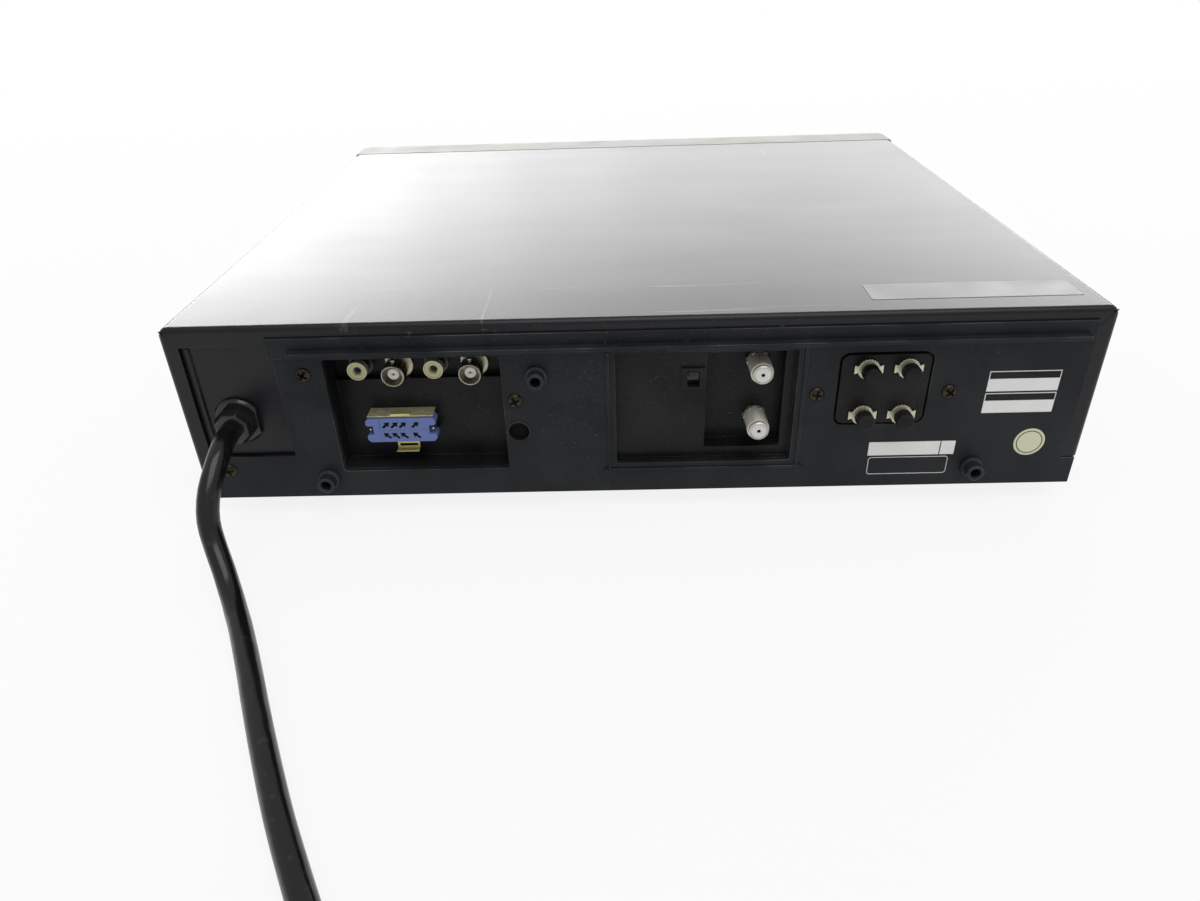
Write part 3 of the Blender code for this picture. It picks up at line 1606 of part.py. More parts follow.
def make_cassette_holder(look):
    """A folded basket: side walls, two ledges for the cassette, and a roof."""
    outer, inner = holder_outer_half, holder_inner_half
    low, high = up(holder_low), up(holder_high)
    y0, y1 = holder_front_y, holder_front_y + holder_length
    mesh = bmesh.new()
    add_box(mesh, tape_x - outer, tape_x + outer, y0, y1, low, high)
    basket = new_object("cassette_holder", mesh, look)
    mesh = bmesh.new()
    start, end = y0 - overrun, y1 + overrun
    add_box(mesh, tape_x - inner, tape_x + inner, start, end, low + sheet, high - sheet)
    ledge = outer - holder_ledge
    add_box(mesh, tape_x - ledge, tape_x + ledge, start, end, low - overrun, low + 2 * sheet)
    x0, x1 = tape_x - ledge, tape_x + ledge
    add_box(mesh, x0, x1, start, y0 + holder_roof_setback, high - 2 * sheet, high + overrun)
    cut(basket, mesh, "inside")
    mesh = bmesh.new()
    pin_end = outer + yoke_sheet
    pin_y = yoke_front_y + yoke_length / 2
    for sign in (-1, 1):
        x0, x1 = sorted((tape_x + sign * (inner + sheet / 2), tape_x + sign * pin_end))
        add_rod(mesh, (pin_y, up(holder_pin_height)), "X", pin_radius, x0, x1)
    fuse(basket, mesh, "pins")


def make_carriage_drive(look):
    """A yoke over the holder: its arms carry the holder's pins in upright slots."""
    inner = holder_outer_half + fit
    outer = inner + yoke_sheet
    y0, y1 = yoke_front_y, yoke_front_y + yoke_length
    low, high = up(yoke_low), up(yoke_high)
    mesh = bmesh.new()
    add_box(mesh, tape_x - outer, tape_x + outer, y0, y1, low, high)
    yoke = new_object("carriage_drive", mesh, look)
    mesh = bmesh.new()
    start, end = y0 - overrun, y1 + overrun
    add_box(mesh, tape_x - inner, tape_x + inner, start, end, low - overrun, high - yoke_sheet)
    middle = (y0 + y1) / 2
    bar = yoke_bar / 2
    x0, x1 = tape_x - inner + yoke_sheet, tape_x + inner - yoke_sheet
    add_box(mesh, x0, x1, start, middle - bar, high - 2 * yoke_sheet, high + overrun)
    add_box(mesh, x0, x1, middle + bar, end, high - 2 * yoke_sheet, high + overrun)
    room = pin_radius + fit
    slot_low_z = up(holder_pin_height) - holder_drop - room
    slot_high_z = up(holder_pin_height) + room
    slot = rounded(middle - room, slot_low_z, middle + room, slot_high_z, room - fit)
    reach = outer + overrun
    for x0, x1 in ((tape_x - reach, tape_x - inner + fit), (tape_x + inner - fit, tape_x + reach)):
        add_prism(mesh, slot, "X", x0, x1)
    cut(yoke, mesh, "inside")
    mesh = bmesh.new()
    pin_end = outer + fit + plate
    for sign in (-1, 1):
        x0, x1 = sorted((tape_x + sign * (inner + yoke_sheet / 2), tape_x + sign * pin_end))
        for y in (y0 + 2 * pin_radius, y1 - 2 * pin_radius):
            add_rod(mesh, (y, up(yoke_pin_height)), "X", pin_radius, x0, x1)
    fuse(yoke, mesh, "pins")


def make_carriage_frame(look):
    """Two slotted side plates on the deck, tied by a bar at the rear."""
    inner = holder_outer_half + fit + yoke_sheet + fit
    outer = inner + plate
    y0, y1 = frame_front_y, frame_rear_y
    low = up(deck_height) + deck_thickness + fit
    high = up(frame_high)
    mesh = bmesh.new()
    add_box(mesh, tape_x - outer, tape_x + outer, y0, y1, low, high)
    frame = new_object("carriage_frame", mesh, look)
    mesh = bmesh.new()
    start, end = y0 - overrun, y1 + overrun
    add_box(mesh, tape_x - inner, tape_x + inner, start, end, low - overrun, high - plate)
    open_end = y1 - frame_bar
    x0, x1 = tape_x - inner + plate, tape_x + inner - plate
    add_box(mesh, x0, x1, start, open_end, high - 2 * plate, high + overrun)
    room = pin_radius + fit
    slot_front = yoke_front_y + 2 * pin_radius - room
    slot_rear = yoke_front_y + yoke_length - 2 * pin_radius + carriage_travel + room
    pin_z = up(yoke_pin_height)
    slot = rounded(slot_front, pin_z - room, slot_rear, pin_z + room, room - fit)
    reach = outer + overrun
    for x0, x1 in ((tape_x - reach, tape_x - inner + fit), (tape_x + inner - fit, tape_x + reach)):
        add_prism(mesh, slot, "X", x0, x1)
    cut(frame, mesh, "inside")
    mesh = bmesh.new()
    foot_z = low + plate
    for sign in (-1, 1):
        x0, x1 = sorted((tape_x + sign * (inner + plate / 2), tape_x + sign * (outer + frame_foot / 2)))
        for y in (y0 + frame_foot, y1 - 2 * frame_foot):
            add_box(mesh, x0, x1, y, y + frame_foot, low, foot_z)
    fuse(frame, mesh, "feet")


# Electrics inside the cover

part_width = 0.016
part_height = 0.0043
part_place_shares = ((0.957, 0.33), (0.435, 0.2), (0.293, 0.56))
part_sunk = 0.0005
transformer_inset = 0.040
transformer_setback = 0.070
transformer_x = half_width - transformer_inset
transformer_y = rear_y - transformer_setback
core_width = 0.048
core_depth = 0.040
core_height = 0.042
coil_width = 0.030
coil_depth = 0.056
coil_height = 0.030
core_foot = 0.0030


def make_main_board(look):
    low = up(board_height)
    mesh = bmesh.new()
    add_box(mesh, board_left_x, board_right_x, board_front_y, board_rear_y, low, low + board_thickness)
    board = new_object("main_board", mesh, look)
    mesh = bmesh.new()
    for x, y in deck_pillars():
        if board_left_x < x < board_right_x and board_front_y < y < board_rear_y:
            add_rod(mesh, (x, y), "Z", pillar_radius + slide_gap, low - overrun, low + overrun)
    cut(board, mesh, "pillar_holes")
    mesh = bmesh.new()
    sunk = low + board_thickness - part_sunk
    for across_share, along_share in part_place_shares:
        x = board_left_x + (board_right_x - board_left_x) * across_share
        y = board_front_y + board_depth * along_share
        add_box(mesh, x - part_width, x, y, y + part_width, sunk, low + board_thickness + part_height)
    fuse(board, mesh, "parts")


def make_power_transformer(look):
    """A laminated core with its winding showing at both ends."""
    low = chassis_z + chassis_wall + fit
    mesh = bmesh.new()
    x0, x1 = transformer_x - core_width / 2, transformer_x + core_width / 2
    y0, y1 = transformer_y - core_depth / 2, transformer_y + core_depth / 2
    add_box(mesh, x0, x1, y0, y1, low, low + core_height)
    core = new_object("power_transformer", mesh, look)
    mesh = bmesh.new()
    x0, x1 = transformer_x - coil_width / 2, transformer_x + coil_width / 2
    y0, y1 = transformer_y - coil_depth / 2, transformer_y + coil_depth / 2
    outline = rounded(x0, y0, x1, y1, core_foot)
    middle = low + core_height / 2
    add_prism(mesh, outline, "Z", middle - coil_height / 2, middle + coil_height / 2)
    fuse(core, mesh, "winding")


# Mains cord: the route that shows, the coil that doesn't, the plug

cord_drift = 0.0990
cord_reach = 0.2147
cord_floor_gap = 0.0001
# Rows are shares of the drift sideways, the reach behind the gland and the fall from the gland
cord_route_shares = (
    (0, 0, 1),
    (0.003, 0.020, 1),
    (0.006, 0.041, 1),
    (0.012, 0.073, 0.969),
    (0.010, 0.106, 0.888),
    (0.002, 0.134, 0.774),
    (-0.002, 0.155, 0.641),
    (-0.001, 0.169, 0.501),
    (0.014, 0.183, 0.371),
    (0.038, 0.201, 0.261),
    (0.067, 0.222, 0.166),
    (0.097, 0.246, 0.090),
    (0.131, 0.273, 0.033),
    (0.168, 0.304, 0.005),
    (0.205, 0.334, 0),
    (0.309, 0.427, 0),
    (0.409, 0.520, 0),
    (0.512, 0.613, 0),
    (0.621, 0.707, 0),
    (0.739, 0.800, 0),
    (0.861, 0.893, 0),
    (0.956, 0.966, 0),
    (1, 1, 0),
)
cord_point_diameters = 2
cord_turn_gap = 0.0007
cord_pitch = cord_diameter + cord_turn_gap
coil_outer_radius = 0.0536
coil_layer_turns = 2.275
coil_loop_points = 24
coil_climb_turns = 0.5
coil_tail_turns = 0.5
coil_lead = 0.0225
plug_half_height = 0.0072
plug_half_width = 0.0128
plug_length = 0.0300
plug_neck = 0.0054
plug_shape_shares = ((0, 0), (0.25, 0), (0.45, 0.75), (0.6, 1), (0.93, 1), (1, 0.9))
plug_corner_share = 0.8
blade_width = 0.0063
blade_thickness = 0.0015
blade_length = 0.0175
blade_spacing = 0.0127


def smooth_curve(points, spacing):
    """Points at an even spacing along a smooth curve through the given ones."""
    ends = [points[0] * 2 - points[1], *points, points[-1] * 2 - points[-2]]
    dense = []
    pieces = 16
    for a, b, c, d in zip(ends, ends[1:], ends[2:], ends[3:]):
        for step in range(pieces):
            t = step / pieces
            bend = (2 * a - 5 * b + 4 * c - d) * t * t + (3 * b - a - 3 * c + d) * t * t * t
            dense.append((2 * b + (c - a) * t + bend) / 2)
    dense.append(points[-1])
    lengths = [0]
    for a, b in zip(dense, dense[1:]):
        lengths.append(lengths[-1] + (b - a).length)
    count = round(lengths[-1] / spacing)
    even = []
    k = 0
    for number in range(count + 1):
        wanted = lengths[-1] * number / count
        while k < len(lengths) - 2 and lengths[k + 1] < wanted:
            k += 1
        share = (wanted - lengths[k]) / (lengths[k + 1] - lengths[k])
        even.append(dense[k].lerp(dense[k + 1], share))
    return even


def cord_route():
    """The middle of the cord where it shows: out of the gland, down to the floor and away."""
    rest = cord_diameter / 2 + cord_floor_gap
    fall = up(gland_height) - rest
    mouth_y = rear_y + gland_reach + fit
    return [
        Vector((gland_x - cord_drift * across, mouth_y + cord_reach * behind, rest + fall * height))
        for across, behind, height in cord_route_shares
    ]


def coil_place(turns):
    """Radius and lift above the bottom layer, after so many turns from where the cord comes in."""
    inner = coil_outer_radius - cord_pitch * coil_layer_turns
    climbed = coil_layer_turns + coil_climb_turns
    stepped = climbed + coil_layer_turns
    if turns <= coil_layer_turns:
        return coil_outer_radius - cord_pitch * turns, 0
    if turns <= climbed:
        gone = turns - coil_layer_turns
        lift = cord_pitch * (1 - math.cos(math.pi * gone / coil_climb_turns)) / 2
        return inner - cord_pitch * gone * (1 - gone / coil_climb_turns), lift
    if turns <= stepped:
        return inner + cord_pitch * (turns - climbed), cord_pitch
    lean = quarter * (1 - math.cos(math.pi * (turns - stepped) / coil_tail_turns)) / 2
    return coil_outer_radius + cord_pitch * math.sin(lean), cord_pitch * math.cos(lean)


def coil_points():
    """Spiral in, climb a layer, spiral out above, step down outside the first turn and end straight."""
    before, start = cord_route()[-2:]
    run = (start - before).normalized()
    start = start + run * fit
    side = Vector((run.y, -run.x, 0))
    centre = start + run * cord_diameter + side * coil_outer_radius
    first_angle = math.atan2(-side.y, -side.x)
    total = 2 * coil_layer_turns + coil_climb_turns + coil_tail_turns
    steps = round(total * coil_loop_points)
    points = [start]
    for step in range(steps + 1):
        turns = total * step / steps
        radius, lift = coil_place(turns)
        angle = first_angle - whole_turn * turns
        x, y = centre.x + radius * math.cos(angle), centre.y + radius * math.sin(angle)
        points.append(Vector((x, y, centre.z + lift)))
    ahead = Vector((math.sin(angle), -math.cos(angle), 0))
    points.append(points[-1] + ahead * coil_lead)
    return points, ahead


def print_least_gap(points):
    """The least gap between stretches of the coil that lie more than a few diameters apart."""
    along = [0]
    for a, b in zip(points, points[1:]):
        along.append(along[-1] + (b - a).length)
    near = [
        (points[i] - points[j]).length
        for i in range(len(points))
        for j in range(i)
        if along[i] - along[j] > 6 * cord_diameter
    ]
    print("coil length", round(along[-1], 4), "least gap to itself", round(min(near) - cord_diameter, 5))


def make_tube(name, points, sides, look):
    line = bpy.data.curves.new(name, "CURVE")
    line.dimensions = "3D"
    line.bevel_depth = cord_diameter / 2
    line.bevel_resolution = sides
    line.use_fill_caps = True
    spline = line.splines.new("POLY")
    spline.points.add(len(points) - 1)
    for knot, point in zip(spline.points, points):
        knot.co = (*point, 1)
    line.materials.append(look)
    made = bpy.data.objects.new(name, line)
    bpy.context.scene.collection.objects.link(made)


def make_power_cord(look):
    route = cord_route()
    bent = smooth_curve(route[2:-1], cord_point_diameters * cord_diameter)
    run = [route[0], *bent, route[-1]]
    length = sum((b - a).length for a, b in zip(run, run[1:]))
    print("cord run length", round(length, 4))
    make_tube("power_cord", run, 2, look)
    coil, ahead = coil_points()
    print_least_gap(coil)
    make_tube("power_cord_coil", coil, 1, look)
    return coil[-1], ahead


def make_power_plug(look, blade_look, tip, ahead):
    """A flat moulded plug that lies on the floor where the cord ends, with two blades."""
    turn = (0, 0, math.atan2(-ahead.x, ahead.y))
    place = tip + ahead * fit
    mesh = bmesh.new()
    rings = []
    for along_share, wide_share in plug_shape_shares:
        half_w = plug_neck + (plug_half_width - plug_neck) * wide_share
        half_h = plug_neck + (plug_half_height - plug_neck) * wide_share
        rise = half_h + fit - place.z
        outline = rounded(-half_w, rise - half_h, half_w, rise + half_h, half_h * plug_corner_share)
        rings.append([placed("Y", pair, plug_length * along_share) for pair in outline])
    add_loft(mesh, rings)
    new_object("power_plug", mesh, look, True, place, turn)
    for number, sign in ((1, -1), (2, 1)):
        mesh = bmesh.new()
        x = sign * blade_spacing / 2
        start = plug_length + fit
        half_t, half_b = blade_thickness / 2, blade_width / 2
        outline = rounded(start, rise - half_b, start + blade_length, rise + half_b, half_b / 2, 2)
        add_prism(mesh, outline, "X", x - half_t, x + half_t)
        new_object(f"plug_blade_{number}", mesh, blade_look, False, place, turn)


def build():
    clear_scene()
    painted = finish("black painted steel", (0.020, 0.021, 0.026), 0.38, 0.0)
    moulded = finish("black moulded plastic", (0.014, 0.014, 0.018), 0.45, 0.0)
    silver = finish("silver moulding", (0.55, 0.54, 0.51), 0.35, 0.4)
    dark_flap = finish("dark grey moulding", (0.060, 0.060, 0.062), 0.4, 0.0)
    smoked = finish("smoked window", (0.010, 0.010, 0.012), 0.08, 0.0)
    rubber = finish("rubber", (0.016, 0.016, 0.016), 0.7, 0.0)
    nickel = finish("nickel", (0.62, 0.60, 0.56), 0.25, 1.0)
    zinc = finish("zinc plated steel", (0.55, 0.54, 0.50), 0.35, 1.0)
    yellow = finish("yellow insulator", (0.62, 0.54, 0.20), 0.4, 0.0)
    blue = finish("blue connector", (0.13, 0.20, 0.44), 0.45, 0.0)
    brass = finish("brass", (0.60, 0.47, 0.22), 0.35, 1.0)
    board = finish("brown board", (0.16, 0.09, 0.03), 0.6, 0.0)
    alloy = finish("drum alloy", (0.66, 0.67, 0.68), 0.2, 1.0)
    lead = finish("cord jacket", (0.012, 0.012, 0.013), 0.35, 0.0)

    make_top_cover(painted)
    make_bottom_chassis(moulded)
    make_feet(rubber)
    make_rear_panel(moulded)
    make_power_inlet_plate(painted)
    make_cord_gland(moulded)
    make_jack_panel(moulded)
    make_phono_jacks(yellow)
    make_bayonet_jacks(nickel)
    make_monitor_connector(blue)
    make_connector_latch(brass)
    make_aerial_panel(moulded)
    make_aerial_jacks(nickel)
    make_channel_switch(moulded)
    make_aerial_converter(zinc)
    make_terminal_plate(moulded)
    make_terminal_screws(nickel, moulded)
    make_front_panel(silver)
    make_cassette_door(dark_flap)
    make_display_window(smoked)
    make_control_door(silver)
    make_tracking_knob(dark_flap)
    make_buttons(silver)
    make_deck_plate(zinc)
    make_drum_base(alloy)
    make_head_drum(alloy)
    make_capstan(zinc)
    make_pinch_roller(rubber)
    make_reel_tables(moulded)
    make_cassette_holder(zinc)
    make_carriage_drive(zinc)
    make_carriage_frame(zinc)
    make_main_board(board)
    make_power_transformer(zinc)
    tip, ahead = make_power_cord(lead)
    make_power_plug(lead, brass, tip, ahead)


build()
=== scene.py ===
"""The looks of a video cassette recorder seen from behind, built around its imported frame.

Metres, +Z up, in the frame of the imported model. The rear panel faces +Y, so the photograph's left is +X.
"""

import json
import math

import bmesh
import bpy
from mathutils import Matrix, Vector


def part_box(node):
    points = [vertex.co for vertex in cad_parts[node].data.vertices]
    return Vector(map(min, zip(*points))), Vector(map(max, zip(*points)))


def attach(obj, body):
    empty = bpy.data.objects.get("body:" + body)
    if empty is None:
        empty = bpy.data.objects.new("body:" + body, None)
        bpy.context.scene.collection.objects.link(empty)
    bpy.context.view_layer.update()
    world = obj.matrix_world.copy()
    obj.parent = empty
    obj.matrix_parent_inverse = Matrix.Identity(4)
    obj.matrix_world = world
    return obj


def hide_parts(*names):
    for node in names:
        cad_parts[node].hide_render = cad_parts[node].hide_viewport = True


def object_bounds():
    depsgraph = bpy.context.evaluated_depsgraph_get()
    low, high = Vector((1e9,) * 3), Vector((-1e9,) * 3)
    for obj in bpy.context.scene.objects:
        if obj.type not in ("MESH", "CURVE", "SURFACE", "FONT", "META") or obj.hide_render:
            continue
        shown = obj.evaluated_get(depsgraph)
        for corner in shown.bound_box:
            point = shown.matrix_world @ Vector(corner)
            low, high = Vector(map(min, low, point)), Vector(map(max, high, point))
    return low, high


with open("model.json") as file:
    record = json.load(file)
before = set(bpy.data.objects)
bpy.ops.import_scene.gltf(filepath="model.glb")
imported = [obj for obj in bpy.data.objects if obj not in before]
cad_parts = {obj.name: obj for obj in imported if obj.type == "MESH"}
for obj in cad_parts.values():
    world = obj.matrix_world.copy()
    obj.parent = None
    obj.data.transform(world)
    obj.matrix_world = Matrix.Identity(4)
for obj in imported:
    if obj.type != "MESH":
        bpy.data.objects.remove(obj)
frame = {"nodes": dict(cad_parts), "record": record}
cad_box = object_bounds()

quarter = math.pi / 2
whole_turn = 2 * math.pi
smooth_below = math.radians(35)
arc_steps = 6
round_steps = 48
small_steps = 24
ease_segments = 2

# Stock, clearances and the reach of a cutter past the face it cuts
sheet = 0.0010
plate = 0.0015
fit = 0.0003
overrun = 0.0040
print_thickness = 0.0001
fine_ease = 0.00012
edge_ease = 0.0003

# Planes of the machine, read from its frame
cover_low, cover_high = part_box("top_cover")
chassis_low, chassis_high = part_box("bottom_chassis")
inlet_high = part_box("power_inlet_plate")[1]
cover_top_z = cover_high.z
rear_y = cover_high.y
half_width = cover_high.x
chassis_z = chassis_low.z
cover_height = cover_top_z - chassis_z
floor_z = cad_box[0].z


def up(height):
    """The height of a fitting counted from the bottom of the chassis."""
    return chassis_z + height


def middle(node):
    low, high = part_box(node)
    return (low + high) / 2


# Makers of shapes

def arc(x, y, radius, start, end, steps=arc_steps):
    """Points of an arc, its ends in quarter turns."""
    angles = [quarter * (start + (end - start) * step / steps) for step in range(steps + 1)]
    return [(x + radius * math.cos(a), y + radius * math.sin(a)) for a in angles]


def rounded(x0, y0, x1, y1, radius, steps=arc_steps):
    """A rectangle with round corners, as an outline."""
    points = arc(x1 - radius, y1 - radius, radius, 0, 1, steps)
    points += arc(x0 + radius, y1 - radius, radius, 1, 2, steps)
    points += arc(x0 + radius, y0 + radius, radius, 2, 3, steps)
    points += arc(x1 - radius, y0 + radius, radius, 3, 4, steps)
    return points


def ribbed(inner, outer, ribs, rib_share=0.5):
    """A round outline with ribs standing out of it."""
    points = []
    for rib in range(ribs):
        for radius, share in ((outer, 0), (outer, rib_share), (inner, rib_share), (inner, 1)):
            angle = whole_turn * (rib + share) / ribs
            points.append((radius * math.cos(angle), radius * math.sin(angle)))
    return points


def placed(axis, pair, along):
    """The point of a pair in the plane across an axis, at a distance along that axis."""
    a, b = pair
    return {"X": (along, a, b), "Y": (a, along, b), "Z": (a, b, along)}[axis]


def add_loft(mesh, rings):
    """A closed body through rings of as many points each, with flat ends."""
    rows = [[mesh.verts.new(point) for point in ring] for ring in rings]
    count = len(rows[0])
    for low, high in zip(rows, rows[1:]):
        for k in range(count):
            after = (k + 1) % count
            mesh.faces.new((low[k], low[after], high[after], high[k]))
    mesh.faces.new(rows[0][::-1])
    mesh.faces.new(rows[-1])


def add_prism(mesh, outline, axis, start, end):
    add_loft(mesh, [[placed(axis, pair, along) for pair in outline] for along in (start, end)])


def add_box(mesh, x0, x1, y0, y1, z0, z1):
    add_prism(mesh, [(x0, y0), (x1, y0), (x1, y1), (x0, y1)], "Z", z0, z1)


def add_turned(mesh, profile, steps, centre=(0, 0, 0), axis="Z"):
    """A body of revolution. The profile is (radius, along) from one end of the axis to the other."""
    rows = []
    for radius, along in profile:
        if radius == 0:
            ring = [placed(axis, (0, 0), along)]
        else:
            angles = [whole_turn * k / steps for k in range(steps)]
            ring = [placed(axis, (radius * math.cos(a), radius * math.sin(a)), along) for a in angles]
        rows.append([mesh.verts.new(Vector(point) + Vector(centre)) for point in ring])
    for low, high in zip(rows, rows[1:]):
        for k in range(steps):
            after = (k + 1) % steps
            corners = [low[k % len(low)], low[after % len(low)]]
            corners += [high[after % len(high)], high[k % len(high)]]
            mesh.faces.new(list(dict.fromkeys(corners)))
    for row in (rows[0], rows[-1]):
        if len(row) > 1:
            mesh.faces.new(row)


def close_rings(mesh, rings):
    """Joins rings of as many vertices each, the last one back to the first."""
    for near, far in zip(rings, rings[1:] + rings[:1]):
        for k in range(len(near)):
            after = (k + 1) % len(near)
            mesh.faces.new((near[k], near[after], far[after], far[k]))


def ring_solid(name, profile, centre):
    """A ring about a Y axis through the centre, its profile a closed loop of (radius, along)."""
    mesh = bmesh.new()
    rings = []
    for radius, along in profile:
        points = arc(0, 0, radius, 0, 4, round_steps)[:-1]
        rings.append([mesh.verts.new((centre[0] + a, along, centre[2] + b)) for a, b in points])
    close_rings(mesh, rings)
    return solid(name, mesh)


def add_rod(mesh, centre, axis, radius, start, end, steps=small_steps):
    """A plain round rod. The centre is the pair in the plane across the axis."""
    add_prism(mesh, arc(centre[0], centre[1], radius, 0, 4, steps)[:-1], axis, start, end)


def solid(name, mesh):
    """An object from a bmesh, its faces turned outwards."""
    bmesh.ops.recalc_face_normals(mesh, faces=mesh.faces)
    data = bpy.data.meshes.new(name)
    mesh.to_mesh(data)
    mesh.free()
    made = bpy.data.objects.new(name, data)
    bpy.context.scene.collection.objects.link(made)
    return made


def shaped(name, add, *sizes):
    """A solid from one call of a maker of shapes."""
    mesh = bmesh.new()
    add(mesh, *sizes)
    return solid(name, mesh)


def make_piece(name, look, add, *sizes, **hung):
    """A settled piece from one call of a maker of shapes."""
    return settle(shaped(name, add, *sizes), look, **hung)


def work_in(made):
    """Works the object's modifiers into its mesh."""
    bpy.context.view_layer.update()
    shown = made.evaluated_get(bpy.context.evaluated_depsgraph_get())
    data = bpy.data.meshes.new_from_object(shown)
    made.modifiers.clear()
    made.data = data


def cut(made, mesh):
    """Takes the shape of a bmesh out of the object."""
    tool = solid("cutter", mesh)
    step = made.modifiers.new("cut", "BOOLEAN")
    step.operation = "DIFFERENCE"
    step.solver = "EXACT"
    step.use_self = True
    step.object = tool
    work_in(made)
    bpy.data.objects.remove(tool, do_unlink=True)


def carve(made, add, *sizes):
    """Cuts with the shape from one call of a maker of shapes."""
    mesh = bmesh.new()
    add(mesh, *sizes)
    cut(made, mesh)


def settle(made, look, body="chassis", replaces=(), ease=0.0, slot=None):
    """Eases the edges, gives the finish, and hangs the piece on its body in the nodes' place."""
    if ease:
        step = made.modifiers.new("eased edges", "BEVEL")
        step.width = ease
        step.segments = ease_segments
        step.limit_method = "ANGLE"
        step.angle_limit = smooth_below
        work_in(made)
    made.data.shade_smooth()
    made.data.set_sharp_from_angle(angle=smooth_below)
    step = made.modifiers.new("even shading", "WEIGHTED_NORMAL")
    step.keep_sharp = True
    work_in(made)
    made.data.materials.clear()
    made.data.materials.append(look)
    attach(made, body)
    if replaces:
        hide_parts(*replaces)
    return made


# Camera: solved from the corners of the cover in the photograph

photo_width = 1200
focal_pixels = 850.0
sensor_width = 36.0
near_limit = 0.01
camera_place = (0.00629, 0.47791, 0.21745)
camera_azimuth = math.radians(181.504)
camera_elevation = math.radians(31.178)
camera_roll = math.radians(-1.939)


def make_camera():
    lens = bpy.data.cameras.new("photo_camera")
    lens.sensor_width = sensor_width
    lens.lens = focal_pixels / photo_width * sensor_width
    lens.clip_start = near_limit
    level = math.cos(camera_elevation)
    back = Vector((
        math.sin(camera_azimuth) * level, -math.cos(camera_azimuth) * level, math.sin(camera_elevation),
    ))
    right = (-back).cross(Vector((0, 0, 1))).normalized()
    above = right.cross(-back)
    across = right * math.cos(camera_roll) + above * math.sin(camera_roll)
    rise = above * math.cos(camera_roll) - right * math.sin(camera_roll)
    made = bpy.data.objects.new("photo_camera", lens)
    turned = Matrix((across, rise, back)).transposed()
    made.matrix_world = Matrix.Translation(camera_place) @ turned.to_4x4()
    bpy.context.scene.collection.objects.link(made)
    bpy.context.scene.camera = made


# Node helpers for the materials

def feed(look, socket, value):
    """Sets a socket to a plain value or links another node's output to it."""
    if isinstance(value, bpy.types.NodeSocket):
        look.node_tree.links.new(value, socket)
    elif socket.type == "RGBA":
        socket.default_value = (*value, 1)
    else:
        socket.default_value = value


def add_node(look, kind, inputs, **settings):
    made = look.node_tree.nodes.new("ShaderNode" + kind)
    for name, value in settings.items():
        setattr(made, name, value)
    for name, value in inputs.items():
        feed(look, made.inputs[name], value)
    return made


def new_look(name, colour, roughness, metallic=0.0, specular=0.5):
    look = bpy.data.materials.new(name)
    look.use_nodes = True
    shader = look.node_tree.nodes["Principled BSDF"]
    shader.inputs["Base Color"].default_value = (*colour, 1)
    shader.inputs["Roughness"].default_value = roughness
    shader.inputs["Metallic"].default_value = metallic
    shader.inputs["Specular IOR Level"].default_value = specular
    return look


def shade(look, name, value):
    """Feeds an input of the look's main shader."""
    feed(look, look.node_tree.nodes["Principled BSDF"].inputs[name], value)


def noise(look, scale, stretch=(1, 1, 1), detail=3.0, turn=(0, 0, 0)):
    place = add_node(look, "TexCoord", {})
    inputs = {"Vector": place.outputs["Object"], "Scale": stretch, "Rotation": turn}
    spread = add_node(look, "Mapping", inputs)
    made = add_node(look, "TexNoise", {"Vector": spread.outputs[0], "Scale": scale, "Detail": detail})
    return made.outputs["Fac"]


def remap(look, value, low, high, to_low=0.0, to_high=1.0):
    limits = {"From Min": low, "From Max": high, "To Min": to_low, "To Max": to_high}
    return add_node(look, "MapRange", {"Value": value, **limits}).outputs["Result"]


def tint(look, share, first, second):
    return add_node(look, "MixRGB", {"Fac": share, "Color1": first, "Color2": second}).outputs["Color"]


def join(look, operation, first, second):
    made = add_node(look, "Math", {}, operation=operation)
    feed(look, made.inputs[0], first)
    feed(look, made.inputs[1], second)
    return made.outputs[0]


def soft_edges(look, radius):
    """A normal that rounds off the sharp edges of a plain solid."""
    return add_node(look, "Bevel", {"Radius": radius}, samples=edge_samples).outputs["Normal"]


def bump(look, height, depth, under=None):
    made = add_node(look, "Bump", {"Height": height, "Distance": depth})
    if under is not None:
        feed(look, made.inputs["Normal"], under)
    return made.outputs["Normal"]


# Lighter edges stand partly for abrasion and partly for a painted highlight along rounded edges
def wear_and_highlight_mask(look):
    """One along the edges, in patches, and nothing on the flats: partly abrasion, partly a painted edge
    highlight.
    """
    turned = soft_edges(look, wear_and_highlight_radius)
    true = add_node(look, "NewGeometry", {}).outputs["True Normal"]
    made = add_node(look, "VectorMath", {}, operation="DOT_PRODUCT")
    feed(look, made.inputs[0], turned)
    feed(look, made.inputs[1], true)
    edge = remap(look, made.outputs["Value"], *edge_band)
    return join(look, "MULTIPLY", edge, remap(look, noise(look, patch_scale), *patch_band, least_wear_and_highlight, 1.0))


def gloss(look, field, low, high):
    """Roughness that follows a field of noise between two values."""
    shade(look, "Roughness", remap(look, field, *mid_band, low, high))


def lighter(colour, share):
    return tuple(part + (1 - part) * share for part in colour)


# Materials: depths of grain and radii of edges in metres, noise scales per metre

moulded_grain = 0.000022
linen_grain = 0.000016
plated_grain = 0.000006
rubber_grain = 0.00004
scratch_depth = 0.000012
edge_radius = 0.0004
edge_samples = 6
wear_and_highlight_radius = 0.00035
lamination_depth = 0.00012
trace_depth = 0.00004
cord_ripple = 0.00024
fine_scale = 2600
even_scale = 900
patch_scale = 45
broad_scale = 9
dust_scale = 1500
scratch_scale = 70
cross_scale = 90
scuff_scale = 260
sheen_scale = 60
ripple_scale = 110
track_scale = 90
solder_scale = 260
leaf_scale = 320
stain_scale = 120
spot_scale = even_scale / 3
scratch_detail = 5.0
spot_detail = 4.0

